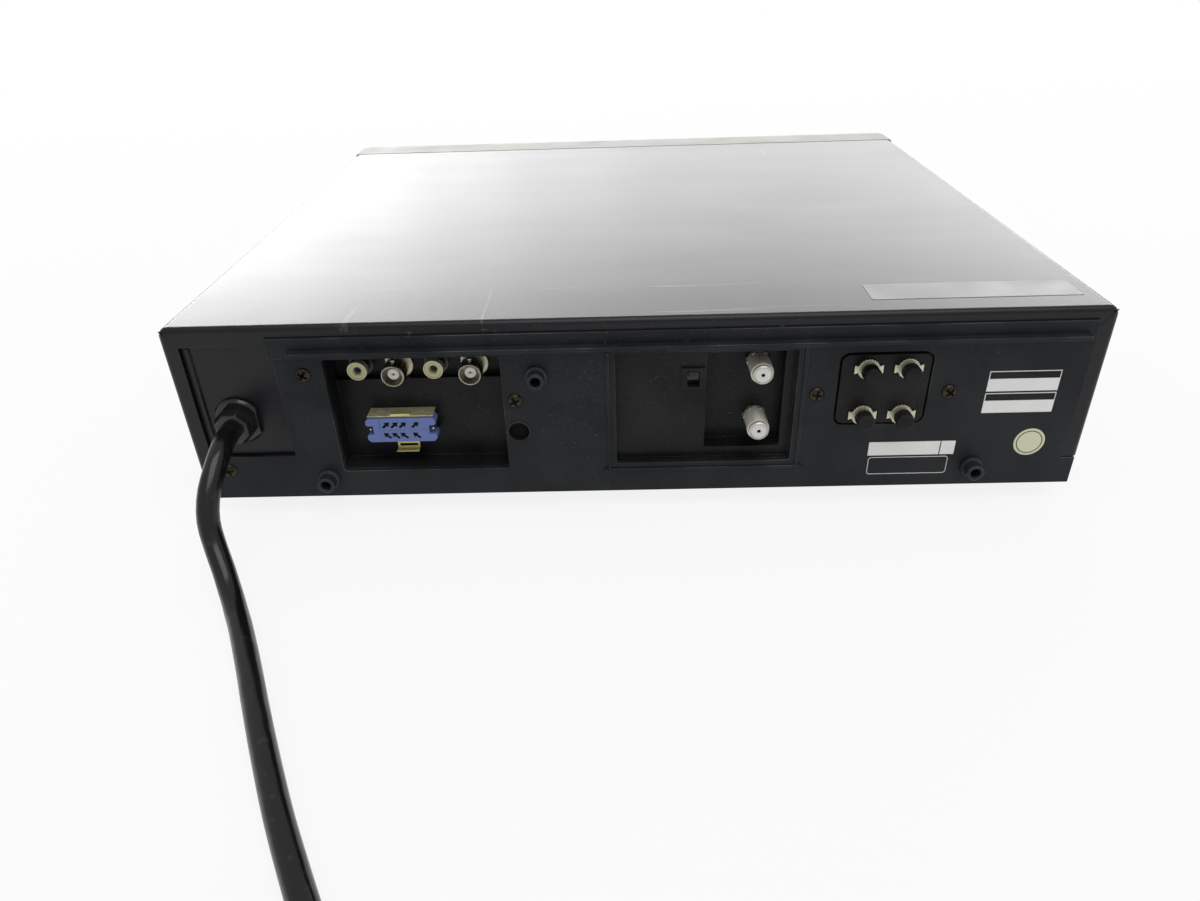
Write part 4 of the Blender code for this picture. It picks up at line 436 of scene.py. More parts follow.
# Bands of noise that a mark or a change of gloss is spread over
mid_band = (0.3, 0.7)
high_band = (0.4, 0.7)
edge_band = (0.995, 0.86)
patch_band = (0.42, 0.62)
speck_band = (0.77, 0.83)
dusty_band = (0.45, 0.75)
scratch_band = (0.665, 0.68)
cross_band = (0.68, 0.695)
scratched_band = (0.45, 0.7)
spot_band = (0.52, 0.68)
scuff_band = (0.62, 0.74)
stain_band = (0.45, 0.65)
dot_band = (0.28, 0.22)

# How far a mark lightens or darkens its colour, or raises and lowers the roughness
least_wear_and_highlight = 0.15
cloud_share = 0.012
rubbed_and_highlight_share = 0.55
paint_rubbed_and_highlight_share = 0.45
dust_share = 0.5
scratch_share = 0.14
scored_share = 0.4
speckle_share = 0.05
scuff_share = 0.05
scuff_pale_share = 0.35
tarnish_share = 0.45
pore_share = 0.06
paint_dust = 0.14
moulded_sheen = 0.05
moulded_matt = 0.07
paint_sheen = 0.008
plated_sheen = 0.06
plated_matt = 0.14
rubber_sheen = 0.1
rubber_matt = 0.05
jacket_gloss = (0.16, 0.27)
lacquer_gloss = (0.4, 0.6)
steel_gloss = (0.35, 0.6)
track_gap = 0.08
solder_metal = 0.9

# Looks that are made once
rubber_specular = 0.3
jacket_black = (0.005, 0.005, 0.0055)
jacket_roughness = 0.28
jacket_specular = 0.45
phenolic_brown = (0.16, 0.09, 0.03)
board_roughness = 0.5
lacquer_brown = (0.13, 0.07, 0.025)
track_brown = (0.24, 0.15, 0.05)
solder_grey = (0.5, 0.5, 0.48)
leaf_grey = (0.34, 0.33, 0.30)
core_roughness = 0.45
core_metal = 0.8
varnish_brown = (0.16, 0.10, 0.05)
window_black = (0.006, 0.006, 0.007)
window_haze = (0.2, 0.2, 0.2)
window_dust = 0.2
window_roughness = 0.06
window_gloss = (0.04, 0.13)
window_coat = 0.4

# Directions that scratches, weave and wiping marks are drawn out in
scratch_stretch = 0.06
scratch_turn = (0, 0, 0.6)
cross_stretch = 0.05
cross_turn = (0, 0, 0.35)
weft = (0.12, 1, 1)
warp = (1, 0.2, 1)
sheen_stretch = (0.3, 1, 1)
wipe_stretch = (0.2, 1, 1)


def dust(look, amount):
    """Scattered pale specks, gathered where the broad noise is high."""
    specks = remap(look, noise(look, dust_scale, detail=0.0), *speck_band)
    field = remap(look, noise(look, broad_scale), *dusty_band, 0.0, amount)
    return join(look, "MULTIPLY", specks, field)


def edges_worn_and_highlighted(look, base, wear_and_highlight, bared_and_highlighted):
    """The base colour, lighter along the edges: partly abrasion, partly a painted edge highlight."""
    rubbed_and_highlighted = join(look, "MULTIPLY", wear_and_highlight_mask(look), wear_and_highlight)
    return tint(look, rubbed_and_highlighted, base, bared_and_highlighted)


def moulded(name, colour, roughness, specular=0.5, grain=moulded_grain, wear_and_highlight=0.12, dusty=0.16):
    """Moulded plastic: a fine spark-eroded grain, uneven gloss, edges lighter from abrasion and a painted
    highlight, and some dust.
    """
    look = new_look(name, colour, roughness, 0.0, specular)
    clouds = remap(look, noise(look, patch_scale), *mid_band)
    cloudy = tint(look, clouds, colour, lighter(colour, cloud_share))
    rubbed_and_highlighted = edges_worn_and_highlighted(look, cloudy, wear_and_highlight, lighter(colour, rubbed_and_highlight_share))
    shade(look, "Base Color", tint(look, dust(look, dusty), rubbed_and_highlighted, lighter(colour, dust_share)))
    gloss(look, noise(look, patch_scale), roughness - moulded_sheen, roughness + moulded_matt)
    shade(look, "Normal", bump(look, noise(look, fine_scale), grain, soft_edges(look, edge_radius)))
    return look


def painted(name, colour, roughness, specular, wear_and_highlight=0.1):
    """Baked paint on steel with a fine woven grain, hairline scratches, and lighter spots along the edges
    that are partly abrasion, partly a painted highlight.
    """
    look = new_look(name, colour, roughness, 0.0, specular)
    hairs = noise(look, scratch_scale, (scratch_stretch, 1, 1), scratch_detail, scratch_turn)
    hairs = remap(look, hairs, *scratch_band)
    others = noise(look, cross_scale, (1, cross_stretch, 1), scratch_detail, cross_turn)
    others = remap(look, others, *cross_band)
    marks = join(look, "MAXIMUM", hairs, others)
    field = remap(look, noise(look, broad_scale), *scratched_band)
    marks = join(look, "MULTIPLY", marks, field)
    worn_and_highlighted = edges_worn_and_highlighted(look, colour, wear_and_highlight, lighter(colour, paint_rubbed_and_highlight_share))
    scored = tint(look, join(look, "MULTIPLY", marks, scratch_share), worn_and_highlighted, lighter(colour, scored_share))
    shade(look, "Base Color", tint(look, dust(look, paint_dust), scored, lighter(colour, dust_share)))
    linen = join(look, "ADD", noise(look, even_scale, weft), noise(look, even_scale, warp))
    gloss(look, noise(look, patch_scale, sheen_stretch), roughness - paint_sheen, roughness + paint_sheen)
    woven = bump(look, linen, linen_grain, soft_edges(look, edge_radius))
    shade(look, "Normal", bump(look, marks, scratch_depth, woven))
    return look


def plated(name, colour, roughness, stretch=(1, 1, 1), tarnish=0.25, grain=plated_grain, metallic=1.0):
    """Plated or bare metal: fine directional scratches, uneven gloss and dull brown spots."""
    look = new_look(name, colour, roughness, metallic)
    dull = tuple(part * tarnish_share for part in colour)
    spots = remap(look, noise(look, spot_scale, detail=spot_detail), *spot_band, 0.0, tarnish)
    shade(look, "Base Color", tint(look, spots, colour, dull))
    brushed = noise(look, fine_scale, stretch)
    gloss(look, brushed, roughness - plated_sheen, roughness + plated_matt)
    shade(look, "Normal", bump(look, brushed, grain, soft_edges(look, edge_radius)))
    return look


def soft_rubber(name, colour, roughness):
    look = new_look(name, colour, roughness, 0.0, rubber_specular)
    speckle = remap(look, noise(look, even_scale), *high_band)
    shade(look, "Base Color", tint(look, speckle, colour, lighter(colour, speckle_share)))
    gloss(look, noise(look, patch_scale), roughness - rubber_sheen, roughness + rubber_matt)
    shade(look, "Normal", bump(look, noise(look, even_scale), rubber_grain))
    return look


def cord_jacket():
    """Glossy black vinyl with slow ripples and scuffs along it."""
    look = new_look("cord_jacket", jacket_black, jacket_roughness, 0.0, jacket_specular)
    scuffs = remap(look, noise(look, scuff_scale, detail=scratch_detail), *scuff_band, 0.0, scuff_share)
    shade(look, "Base Color", tint(look, scuffs, jacket_black, lighter(jacket_black, scuff_pale_share)))
    gloss(look, noise(look, sheen_scale), *jacket_gloss)
    pores = join(look, "MULTIPLY", noise(look, even_scale), pore_share)
    ripple = join(look, "ADD", noise(look, ripple_scale, detail=1.0), pores)
    shade(look, "Normal", bump(look, ripple, cord_ripple))
    return look


def board_brown():
    """Phenolic board with copper tracks under brown lacquer and solder dots."""
    look = new_look("board_brown", phenolic_brown, board_roughness)
    place = add_node(look, "TexCoord", {}).outputs["Object"]
    tracks = add_node(look, "TexBrick", {"Vector": place, "Scale": track_scale, "Mortar Size": track_gap})
    solder = add_node(look, "TexVoronoi", {"Vector": place, "Scale": solder_scale})
    dots = remap(look, solder.outputs["Distance"], *dot_band)
    lacquer = tint(look, tracks.outputs["Fac"], lacquer_brown, track_brown)
    shade(look, "Base Color", tint(look, dots, lacquer, solder_grey))
    shade(look, "Metallic", remap(look, dots, 0.0, 1.0, 0.0, solder_metal))
    gloss(look, noise(look, patch_scale), *lacquer_gloss)
    shade(look, "Normal", bump(look, join(look, "ADD", dots, tracks.outputs["Fac"]), trace_depth))
    return look


def core_steel():
    """Stacked laminations with varnish stains."""
    look = new_look("core_steel", leaf_grey, core_roughness, core_metal)
    place = add_node(look, "TexCoord", {}).outputs["Object"]
    leaves = add_node(look, "TexWave", {"Vector": place, "Scale": leaf_scale}, bands_direction="Y")
    stains = remap(look, noise(look, stain_scale, detail=spot_detail), *stain_band)
    shade(look, "Base Color", tint(look, stains, leaf_grey, varnish_brown))
    gloss(look, noise(look, stain_scale), *steel_gloss)
    shade(
        look, "Normal",
        bump(look, leaves.outputs["Fac"], lamination_depth, soft_edges(look, edge_radius)),
    )
    return look


def smoked_window():
    """Smoked acrylic: nearly black, with a hard gloss and faint wiping marks."""
    look = new_look("smoked_window", window_black, window_roughness)
    shade(look, "Base Color", tint(look, dust(look, window_dust), window_black, window_haze))
    wiped = remap(look, noise(look, patch_scale, wipe_stretch), *high_band, *window_gloss)
    shade(look, "Roughness", wiped)
    shade(look, "Coat Weight", window_coat)
    return look


def frame_looks():
    """A finish for every material slot of the record: its colour, its roughness, then its sheen."""
    round_brush = (1, 0.15, 1)
    return {
        "cover_paint": painted("cover_paint", (0.006, 0.0068, 0.0085), 0.34, 0.3),
        "chassis_plastic": moulded("chassis_plastic", (0.008, 0.008, 0.010), 0.5, 0.2),
        # The rear panel's edges are lightened the most: partly abrasion, partly a painted edge highlight
        "rear_panel_plastic": moulded(
            "rear_panel_plastic", (0.0095, 0.0115, 0.0145), 0.46, 0.16, wear_and_highlight=0.35,
        ),
        "bay_plastic": moulded("bay_plastic", (0.006, 0.0065, 0.007), 0.34, 0.14, dusty=0.22),
        "gloss_black": moulded("gloss_black", (0.004, 0.004, 0.005), 0.14, 0.5, moulded_grain / 8, 0.1),
        "knob_black": moulded("knob_black", (0.003, 0.003, 0.0032), 0.45, 0.14, moulded_grain, 0.1),
        "foot_rubber": soft_rubber("foot_rubber", (0.014, 0.014, 0.014), 0.75),
        "cord_jacket": cord_jacket(),
        "blade_brass": plated("blade_brass", (0.66, 0.52, 0.26), 0.3),
        "phono_yellow": moulded("phono_yellow", (0.60, 0.58, 0.26), 0.4, 0.4, moulded_grain / 3, 0.2),
        "nickel": plated("nickel", (0.66, 0.64, 0.56), 0.38, round_brush, 0.12, metallic=0.65),
        "washer_nickel": plated("washer_nickel", (0.66, 0.63, 0.47), 0.42, tarnish=0.4, metallic=0.7),
        "connector_blue": moulded(
            "connector_blue", (0.135, 0.19, 0.45), 0.42, 0.35, moulded_grain / 2, 0.3,
        ),
        "latch_steel": plated("latch_steel", (0.62, 0.60, 0.36), 0.45, (0.2, 1, 1), 0.5, metallic=0.45),
        "zinc_steel": plated("zinc_steel", (0.58, 0.57, 0.53), 0.36, (0.1, 1, 1), 0.2),
        "drum_alloy": plated("drum_alloy", (0.70, 0.71, 0.72), 0.16, (1, 1, 0.05), 0.05),
        "reel_plastic": moulded("reel_plastic", (0.02, 0.02, 0.022), 0.4, 0.4),
        "board_brown": board_brown(),
        "core_steel": core_steel(),
        "front_silver": moulded("front_silver", (0.36, 0.352, 0.33), 0.5, 0.2, moulded_grain, 0.15, 0.1),
        "button_silver": moulded(
            "button_silver", (0.42, 0.41, 0.385), 0.42, 0.3, moulded_grain / 2, 0.2, 0.1,
        ),
        "door_grey": moulded("door_grey", (0.050, 0.050, 0.052), 0.38, 0.4),
        "smoked_window": smoked_window(),
    }


def dress_frame(looks):
    """Gives every node of the frame the finish of its slot."""
    for row in frame["record"]["subparts"]:
        data = frame["nodes"][row["node"]].data
        data.materials.clear()
        data.materials.append(looks[row["material_slot"]])


# Mains cord: its real length lies in one line, from the gland to the plug

cord_diameter = 0.0086
cord_drift = 0.0990
cord_reach = 0.2147
cord_floor_gap = 0.0001
# Rows are shares of the drift sideways, the reach behind the gland and the fall from the gland
cord_route_shares = (
    (0, 0, 1), (0.003, 0.020, 1), (0.006, 0.041, 1), (0.012, 0.073, 0.969), (0.010, 0.106, 0.888),
    (0.002, 0.134, 0.774), (-0.002, 0.155, 0.641), (-0.001, 0.169, 0.501), (0.014, 0.183, 0.371),
    (0.038, 0.201, 0.261), (0.067, 0.222, 0.166), (0.097, 0.246, 0.090), (0.131, 0.273, 0.033),
    (0.168, 0.304, 0.005), (0.205, 0.334, 0), (0.309, 0.427, 0), (0.409, 0.520, 0), (0.512, 0.613, 0),
    (0.621, 0.707, 0), (0.739, 0.800, 0), (0.861, 0.893, 0), (0.956, 0.966, 0), (1, 1, 0),
)
cord_point_gap = 0.004
cord_roundness = 6
curve_steps = 16
cord_turn_gap = 0.0007
cord_pitch = cord_diameter + cord_turn_gap
coil_outer_radius = 0.0536
coil_layer_turns = 2.275
coil_loop_points = 48
coil_climb_turns = 0.5
coil_tail_turns = 0.5
coil_lead = 0.0225
tie_turn_share = 0.12
tie_width = 0.0045
tie_thickness = 0.0006
tie_corner = 0.0030


def cord_route():
    """The middle of the cord where it shows: out of the gland, down to the floor and away."""
    gland = middle("cord_gland")
    mouth_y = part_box("cord_gland")[1].y + fit
    rest = cord_diameter / 2 + cord_floor_gap
    fall = gland.z - rest
    return [
        Vector((gland.x - cord_drift * across, mouth_y + cord_reach * behind, rest + fall * height))
        for across, behind, height in cord_route_shares
    ]


def smooth_curve(points, spacing):
    """Points at an even spacing along a smooth curve through the given ones."""
    ends = [points[0] * 2 - points[1], *points, points[-1] * 2 - points[-2]]
    dense = []
    for a, b, c, d in zip(ends, ends[1:], ends[2:], ends[3:]):
        for step in range(curve_steps):
            t = step / curve_steps
            bend = (2 * a - 5 * b + 4 * c - d) * t * t + (3 * b - a - 3 * c + d) * t * t * t
            dense.append((2 * b + (c - a) * t + bend) / 2)
    dense.append(points[-1])
    lengths = [0]
    for a, b in zip(dense, dense[1:]):
        lengths.append(lengths[-1] + (b - a).length)
    count = round(lengths[-1] / spacing)
    even = []
    k = 0
    for number in range(count + 1):
        wanted = lengths[-1] * number / count
        while k < len(lengths) - 2 and lengths[k + 1] < wanted:
            k += 1
        share = (wanted - lengths[k]) / (lengths[k + 1] - lengths[k])
        even.append(dense[k].lerp(dense[k + 1], share))
    return even


def coil_place(turns):
    """Radius and lift above the bottom layer, after so many turns from where the cord comes in."""
    inner = coil_outer_radius - cord_pitch * coil_layer_turns
    climbed = coil_layer_turns + coil_climb_turns
    stepped = climbed + coil_layer_turns
    if turns <= coil_layer_turns:
        return coil_outer_radius - cord_pitch * turns, 0
    if turns <= climbed:
        gone = turns - coil_layer_turns
        lift = cord_pitch * (1 - math.cos(math.pi * gone / coil_climb_turns)) / 2
        return inner - cord_pitch * gone * (1 - gone / coil_climb_turns), lift
    if turns <= stepped:
        return inner + cord_pitch * (turns - climbed), cord_pitch
    lean = quarter * (1 - math.cos(math.pi * (turns - stepped) / coil_tail_turns)) / 2
    return coil_outer_radius + cord_pitch * math.sin(lean), cord_pitch * math.cos(lean)


def coil_points():
    """Spiral in, climb a layer, spiral out above, step down outside the first turn and end straight."""
    before, start = cord_route()[-2:]
    run = (start - before).normalized()
    start = start + run * fit
    side = Vector((run.y, -run.x, 0))
    centre = start + run * cord_diameter + side * coil_outer_radius
    first_angle = math.atan2(-side.y, -side.x)
    total = 2 * coil_layer_turns + coil_climb_turns + coil_tail_turns
    steps = round(total * coil_loop_points)
    points = []
    for step in range(steps + 1):
        turns = total * step / steps
        radius, lift = coil_place(turns)
        angle = first_angle - whole_turn * turns
        x, y = centre.x + radius * math.cos(angle), centre.y + radius * math.sin(angle)
        points.append(Vector((x, y, centre.z + lift)))
    ahead = Vector((math.sin(angle), -math.cos(angle), 0))
    points.append(points[-1] + ahead * coil_lead)
    return points, centre, ahead


def make_coil_tie(look, points, centre):
    """A flat band round all the turns of the coil at one place."""
    first = points[0] - centre
    angle = math.atan2(first.y, first.x) - whole_turn * tie_turn_share
    outward = Vector((math.cos(angle), math.sin(angle), 0))
    along = Vector((-outward.y, outward.x, 0))
    near = []
    for point in points[:-1]:
        offset = point - centre
        if offset.dot(outward) > 0 and abs(offset.dot(along)) < cord_diameter:
            near.append((offset.dot(outward), point.z))
    reach = cord_diameter / 2 + tie_thickness
    low, high = min(r for r, z in near) - reach, max(r for r, z in near) + reach
    top = max(z for r, z in near) + reach
    mesh = bmesh.new()
    rings = []
    for inset, shift in ((0, -1), (0, 1), (tie_thickness, 1), (tie_thickness, -1)):
        outline = rounded(low + inset, floor_z + inset / 2, high - inset, top - inset, tie_corner - inset)
        sideways = along * (shift * tie_width / 2)
        rings.append([
            mesh.verts.new(centre + outward * r + sideways + Vector((0, 0, z - centre.z)))
            for r, z in outline
        ])
    close_rings(mesh, rings)
    return settle(solid("coil_tie", mesh), look)


plug_half_height = 0.0072
plug_half_width = 0.0128
plug_length = 0.0300
plug_neck = 0.0054
plug_ridge = 0.0006
plug_ridges = 4
plug_ridge_share = 0.3
plug_body_shares = ((0.34, 0), (0.45, 0.75), (0.52, 0.93), (0.6, 1), (0.93, 1), (0.97, 0.97), (1, 0.88))
plug_corner_share = 0.8
blade_width = 0.0063
blade_thickness = 0.0015
blade_length = 0.0175
blade_spacing = 0.0127
blade_hole = 0.0016
blade_hole_share = 0.72


def make_plug(plug_look, blade_look, tip, ahead):
    """The moulded plug where the cord ends: ridged strain relief, waisted body, two drilled blades."""
    place = tip + ahead * fit
    stand = Matrix.Translation(place) @ Matrix.Rotation(math.atan2(-ahead.x, ahead.y), 4, "Z")
    shares = [(0, 0, 0)]
    for ridge in range(plug_ridges):
        start = plug_ridge_share * ridge / plug_ridges
        end = plug_ridge_share * (ridge + 1) / plug_ridges
        gap = (end - start) / 4
        shares += [(start + gap, 0, 0), (start + gap, 0, 1), (end - gap / 2, 0, 1), (end - gap / 2, 0, 0)]
    shares += [(along, wide, 0) for along, wide in plug_body_shares]
    mesh = bmesh.new()
    rings = []
    for along, wide, ridge in shares:
        base = plug_neck - plug_ridge + plug_ridge * ridge
        half_w = base + (plug_half_width - base) * wide
        half_h = base + (plug_half_height - base) * wide
        lift = half_h + fit - place.z
        outline = rounded(-half_w, lift - half_h, half_w, lift + half_h, half_h * plug_corner_share)
        rings.append([placed("Y", pair, plug_length * along) for pair in outline])
    add_loft(mesh, rings)
    mesh.transform(stand)
    plug = settle(solid("moulded_plug", mesh), plug_look, replaces=("power_plug",), slot="cord_jacket")
    made = [plug]
    for number, sign in ((1, -1), (2, 1)):
        mesh = bmesh.new()
        x = sign * blade_spacing / 2
        start = plug_length + fit
        half_t, half_b = blade_thickness / 2, blade_width / 2
        outline = rounded(start, lift - half_b, start + blade_length, lift + half_b, half_b / 2)
        add_prism(mesh, outline, "X", x - half_t, x + half_t)
        mesh.transform(stand)
        blade = solid(f"drilled_blade_{number}", mesh)
        mesh = bmesh.new()
        hole = (start + blade_length * blade_hole_share, lift)
        add_rod(mesh, hole, "X", blade_hole, x - blade_thickness, x + blade_thickness)
        mesh.transform(stand)
        cut(blade, mesh)
        node = f"plug_blade_{number}"
        made.append(settle(blade, blade_look, replaces=(node,), ease=fine_ease, slot="blade_brass"))
    return made


def make_cord(looks):
    """The whole cord as one curve, from the gland's mouth to the plug, with its tie and plug."""
    route = cord_route()
    coil, centre, ahead = coil_points()
    points = smooth_curve(route, cord_point_gap) + coil
    line = bpy.data.curves.new("mains_cord", "CURVE")
    line.dimensions = "3D"
    line.bevel_depth = cord_diameter / 2
    line.bevel_resolution = cord_roundness
    line.use_fill_caps = True
    line.materials.append(looks["cord_jacket"])
    spline = line.splines.new("POLY")
    spline.points.add(len(points) - 1)
    for knot, point in zip(spline.points, points):
        knot.co = (*point, 1)
    spline.use_smooth = True
    made = bpy.data.objects.new("mains_cord", line)
    bpy.context.scene.collection.objects.link(made)
    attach(made, "chassis")
    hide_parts("power_cord", "power_cord_coil")
    pieces = make_plug(looks["cord_jacket"], looks["blade_brass"], coil[-1], ahead)
    pieces.append(make_coil_tie(looks["knob_black"], coil, centre))


# Top cover: a thin folded shell with a rolled rear edge and a mitred flange

cover_skirt = 0.013
cover_corner = 0.004
cover_roll = 0.0025
roll_steps = 6
flange_side = 0.007
flange_top = 0.0085
flange_corner = 0.0004
seam_width = 0.0003
skirt_z = up(cover_skirt)
strip_label_left = 0.0970
strip_label_right = 0.1815
strip_label_back = 0.0304
strip_label_front = 0.0132
strip_label_corner = 0.0008


def cover_ring(side, top, radius, y):
    """One section of the cover, from the foot of one side over the top to the foot of the other."""
    points = [(-side, skirt_z)]
    points += arc(-side + radius, top - radius, radius, 2, 1)
    points += arc(side - radius, top - radius, radius, 1, 0)
    points.append((side, skirt_z))
    return [(x, y, z) for x, z in points]


def make_cover(look):
    """The label on top keeps the full height, so the sheet lies lower by the label's thickness."""
    top = cover_top_z - print_thickness
    rings = [cover_ring(half_width, top, cover_corner, cover_low.y)]
    for step in range(roll_steps + 1):
        angle = quarter * step / roll_steps
        inset = cover_roll * (1 - math.cos(angle))
        y = rear_y - cover_roll * (1 - math.sin(angle))
        rings.append(cover_ring(half_width - inset, top - inset, cover_corner - inset, y))
    for y in (rear_y, rear_y - sheet):
        rings.append(cover_ring(half_width - flange_side, cover_top_z - flange_top, flange_corner, y))
    for y in (rear_y - sheet, cover_low.y):
        rings.append(cover_ring(half_width - sheet, top - sheet, cover_corner - sheet, y))
    mesh = bmesh.new()
    rows = [[mesh.verts.new(point) for point in ring] for ring in rings]
    for low, high in zip(rows, rows[1:] + rows[:1]):
        for k in range(len(low) - 1):
            mesh.faces.new((low[k], low[k + 1], high[k + 1], high[k]))
    for end in (0, -1):
        mesh.faces.new([row[end] for row in rows])
    settle(solid("folded_cover", mesh), look, replaces=("top_cover",), slot="cover_paint")


def make_cover_seams(look):
    """The mitre joints of the flange at both upper corners."""
    for number, sign in enumerate((-1, 1), 1):
        out_x, out_z = half_width - cover_roll / 2, cover_top_z - cover_roll / 2
        in_x, in_z = half_width - flange_side, cover_top_z - flange_top
        half = seam_width / 2
        outline = [(sign * (out_x - half), out_z), (sign * (out_x + half), out_z)]
        outline += [(sign * (in_x + half), in_z), (sign * (in_x - half), in_z)]
        make_piece(
            f"cover_seam_{number}", look, add_prism, outline, "Y", rear_y - sheet / 2,
            rear_y + print_thickness / 2,
        )


def make_cover_label(look):
    y0, y1 = rear_y - strip_label_back, rear_y - strip_label_front
    outline = rounded(-strip_label_right, y0, -strip_label_left, y1, strip_label_corner)
    make_piece("cover_label", look, add_prism, outline, "Z", cover_top_z - print_thickness, cover_top_z)


# Rear panel: plate, top strip, lip, bead, posts, screws and blank labels

panel_stand = 0.0005
panel_back_y = rear_y - plate
panel_face_y = rear_y + panel_stand
chassis_half = chassis_high.x
recess_inset = 0.044
recess_inner_x = half_width - recess_inset
recess_low = 0.0211
strip_inset = 0.0426
strip_left_x = half_width - strip_inset
strip_drop = 0.005
strip_width = 0.009
strip_high = cover_height - strip_drop
strip_low = strip_high - strip_width
strip_stand = 0.0013
lip_left_inset = 0.0513
lip_right_inset = 0.0104
lip_drop = 0.0051
lip_thickness = 0.0015
lip_high = strip_high - lip_drop
lip_low = lip_high - lip_thickness
lip_reach = 0.0055
corner_radius = 0.0012
terminal_flange = 0.0020
terminal_corner = 0.004
bead_gap = 0.0024
bead_width = 0.0014
bead_stand = 0.0008
bead_knob = 0.0018
access_gap = 0.0056
access_height = 0.0310
access_radius = 0.00435
access_rim = 0.0008
access_depth = 0.0012
upper_post_gap = 0.0146
upper_post_height = 0.0570
cord_post_gap = 0.0128
far_post_gap = 0.0240
low_post_height = 0.0096
post_base_radius = 0.0046
post_radius = 0.00365
post_bore = 0.00215
post_base = 0.0020
post_length = 0.0068
post_chamfer = 0.0004


def opening(node, lap):
    """The opening in front of a node that laps it all round, as its low and high corners."""
    low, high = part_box(node)
    inward = Vector((lap, 0, lap))
    return low + inward, high - inward


bay_low, bay_high = opening("jack_panel", plate)
pan_low, pan_high = opening("aerial_panel", plate)
terminal_low, terminal_high = opening("terminal_plate", terminal_flange)
panel_side = half_width - flange_side - fit
access_place = (bay_low.x - access_gap, up(access_height))


def post_places():
    """Three stand-off posts: beside the bay, below the cord's recess and past the terminals."""
    return (
        (bay_low.x - upper_post_gap, upper_post_height),
        (recess_inner_x - cord_post_gap, low_post_height),
        (terminal_low.x - far_post_gap, low_post_height),
    )


def panel_outline():
    """The plate seen from behind: a foot as wide as the chassis, and a notch round the cord."""
    foot_top = up(cover_skirt - fit)
    top = cover_top_z - flange_top - fit
    notch = up(recess_low)
    points = [(-chassis_half, chassis_z), (chassis_half, chassis_z), (chassis_half, foot_top)]
    points += [
        (panel_side, foot_top), (panel_side, notch), (recess_inner_x, notch), (recess_inner_x, top),
    ]
    points += [(-panel_side, top), (-panel_side, foot_top), (-chassis_half, foot_top)]
    return points


def make_rear_plate(look):
    made = shaped("rear_plate", add_prism, panel_outline(), "Y", panel_back_y, panel_face_y)
    mesh = bmesh.new()
    rooms = ((bay_low, bay_high, corner_radius), (pan_low, pan_high, corner_radius))
    rooms += ((terminal_low, terminal_high, terminal_corner),)
    for low, high, radius in rooms:
        outline = rounded(low.x, low.z, high.x, high.z, radius)
        add_prism(mesh, outline, "Y", panel_back_y - overrun, panel_face_y + overrun)
    bottom = rear_y - access_depth
    add_rod(mesh, access_place, "Y", access_radius, bottom, panel_face_y + overrun, round_steps)
    cut(made, mesh)
    settle(made, look, replaces=("rear_panel",), ease=edge_ease, slot="rear_panel_plastic")


def make_panel_strip(look):
    """The raised strip along the top, with the thin lip that hoods the sockets."""
    make_piece(
        "top_strip", look, add_box, -panel_side, strip_left_x, rear_y, rear_y + strip_stand,
        up(strip_low), up(strip_high), ease=edge_ease, slot="rear_panel_plastic",
    )
    left, right = half_width - lip_left_inset, lip_right_inset - half_width
    outline = rounded(right, rear_y, left, rear_y + lip_reach, corner_radius)
    make_piece(
        "socket_lip", look, add_prism, outline, "Z", up(lip_low), up(lip_high), ease=edge_ease,
        slot="rear_panel_plastic",
    )


def make_pan_bead(look):
    """The rib round the aerial pan, with a knob at each lower corner."""
    out = bead_gap + bead_width
    outline = [
        (pan_high.x + out, up(strip_low)), (pan_high.x + out, pan_low.z - out),
        (pan_low.x - out, pan_low.z - out), (pan_low.x - out, up(strip_low)),
        (pan_low.x - bead_gap, up(strip_low)), (pan_low.x - bead_gap, pan_low.z - bead_gap),
        (pan_high.x + bead_gap, pan_low.z - bead_gap), (pan_high.x + bead_gap, up(strip_low)),
    ]
    make_piece(
        "pan_bead", look, add_prism, outline, "Y", rear_y, panel_face_y + bead_stand, ease=edge_ease,
        slot="rear_panel_plastic",
    )
    for number, x in enumerate((pan_high.x + out, pan_low.x - out), 1):
        profile = [(0, rear_y), (bead_knob, rear_y)]
        profile += arc(bead_knob - edge_ease, panel_face_y + bead_stand, edge_ease, 0, 1)
        profile.append((0, profile[-1][1]))
        make_piece(
            f"bead_knob_{number}", look, add_turned, profile, small_steps, (x, 0, pan_low.z - out), "Y",
            slot="rear_panel_plastic",
        )


def make_posts(look):
    for number, (x, height) in enumerate(post_places(), 1):
        base, tip = panel_face_y + post_base, panel_face_y + post_length
        profile = [
            (0, panel_face_y), (post_bore, panel_face_y), (post_bore, tip - post_chamfer),
            (post_bore + post_chamfer, tip), (post_radius - post_chamfer, tip),
            (post_radius, tip - post_chamfer), (post_radius, base),
            (post_base_radius - post_chamfer, base), (post_base_radius, base - post_chamfer),
            (post_base_radius, rear_y), (0, rear_y),
        ]
        make_piece(
            f"stand_off_{number}", look, add_turned, profile, round_steps, (x, 0, up(height)), "Y",
            slot="rear_panel_plastic",
        )


def make_access_rim(look, dark):
    """The raised ring round the adjuster's hole, and a near-black disc of painted shade at its bottom."""
    outer = access_radius + access_rim
    profile = [(access_radius, rear_y), (outer, rear_y), (outer, panel_face_y + edge_ease)]
    profile += [
        (outer - edge_ease, panel_face_y + 2 * edge_ease), (access_radius, panel_face_y + edge_ease),
    ]
    x, z = access_place
    settle(ring_solid("access_rim", profile, (x, 0, z)), look, slot="rear_panel_plastic")
    bottom = rear_y - access_depth
    # Painted shade: a near-black disc at the bottom of the hole
    make_piece("access_shade_disc", dark, add_rod, (x, z), "Y", access_radius - fine_ease, bottom, bottom + fit)


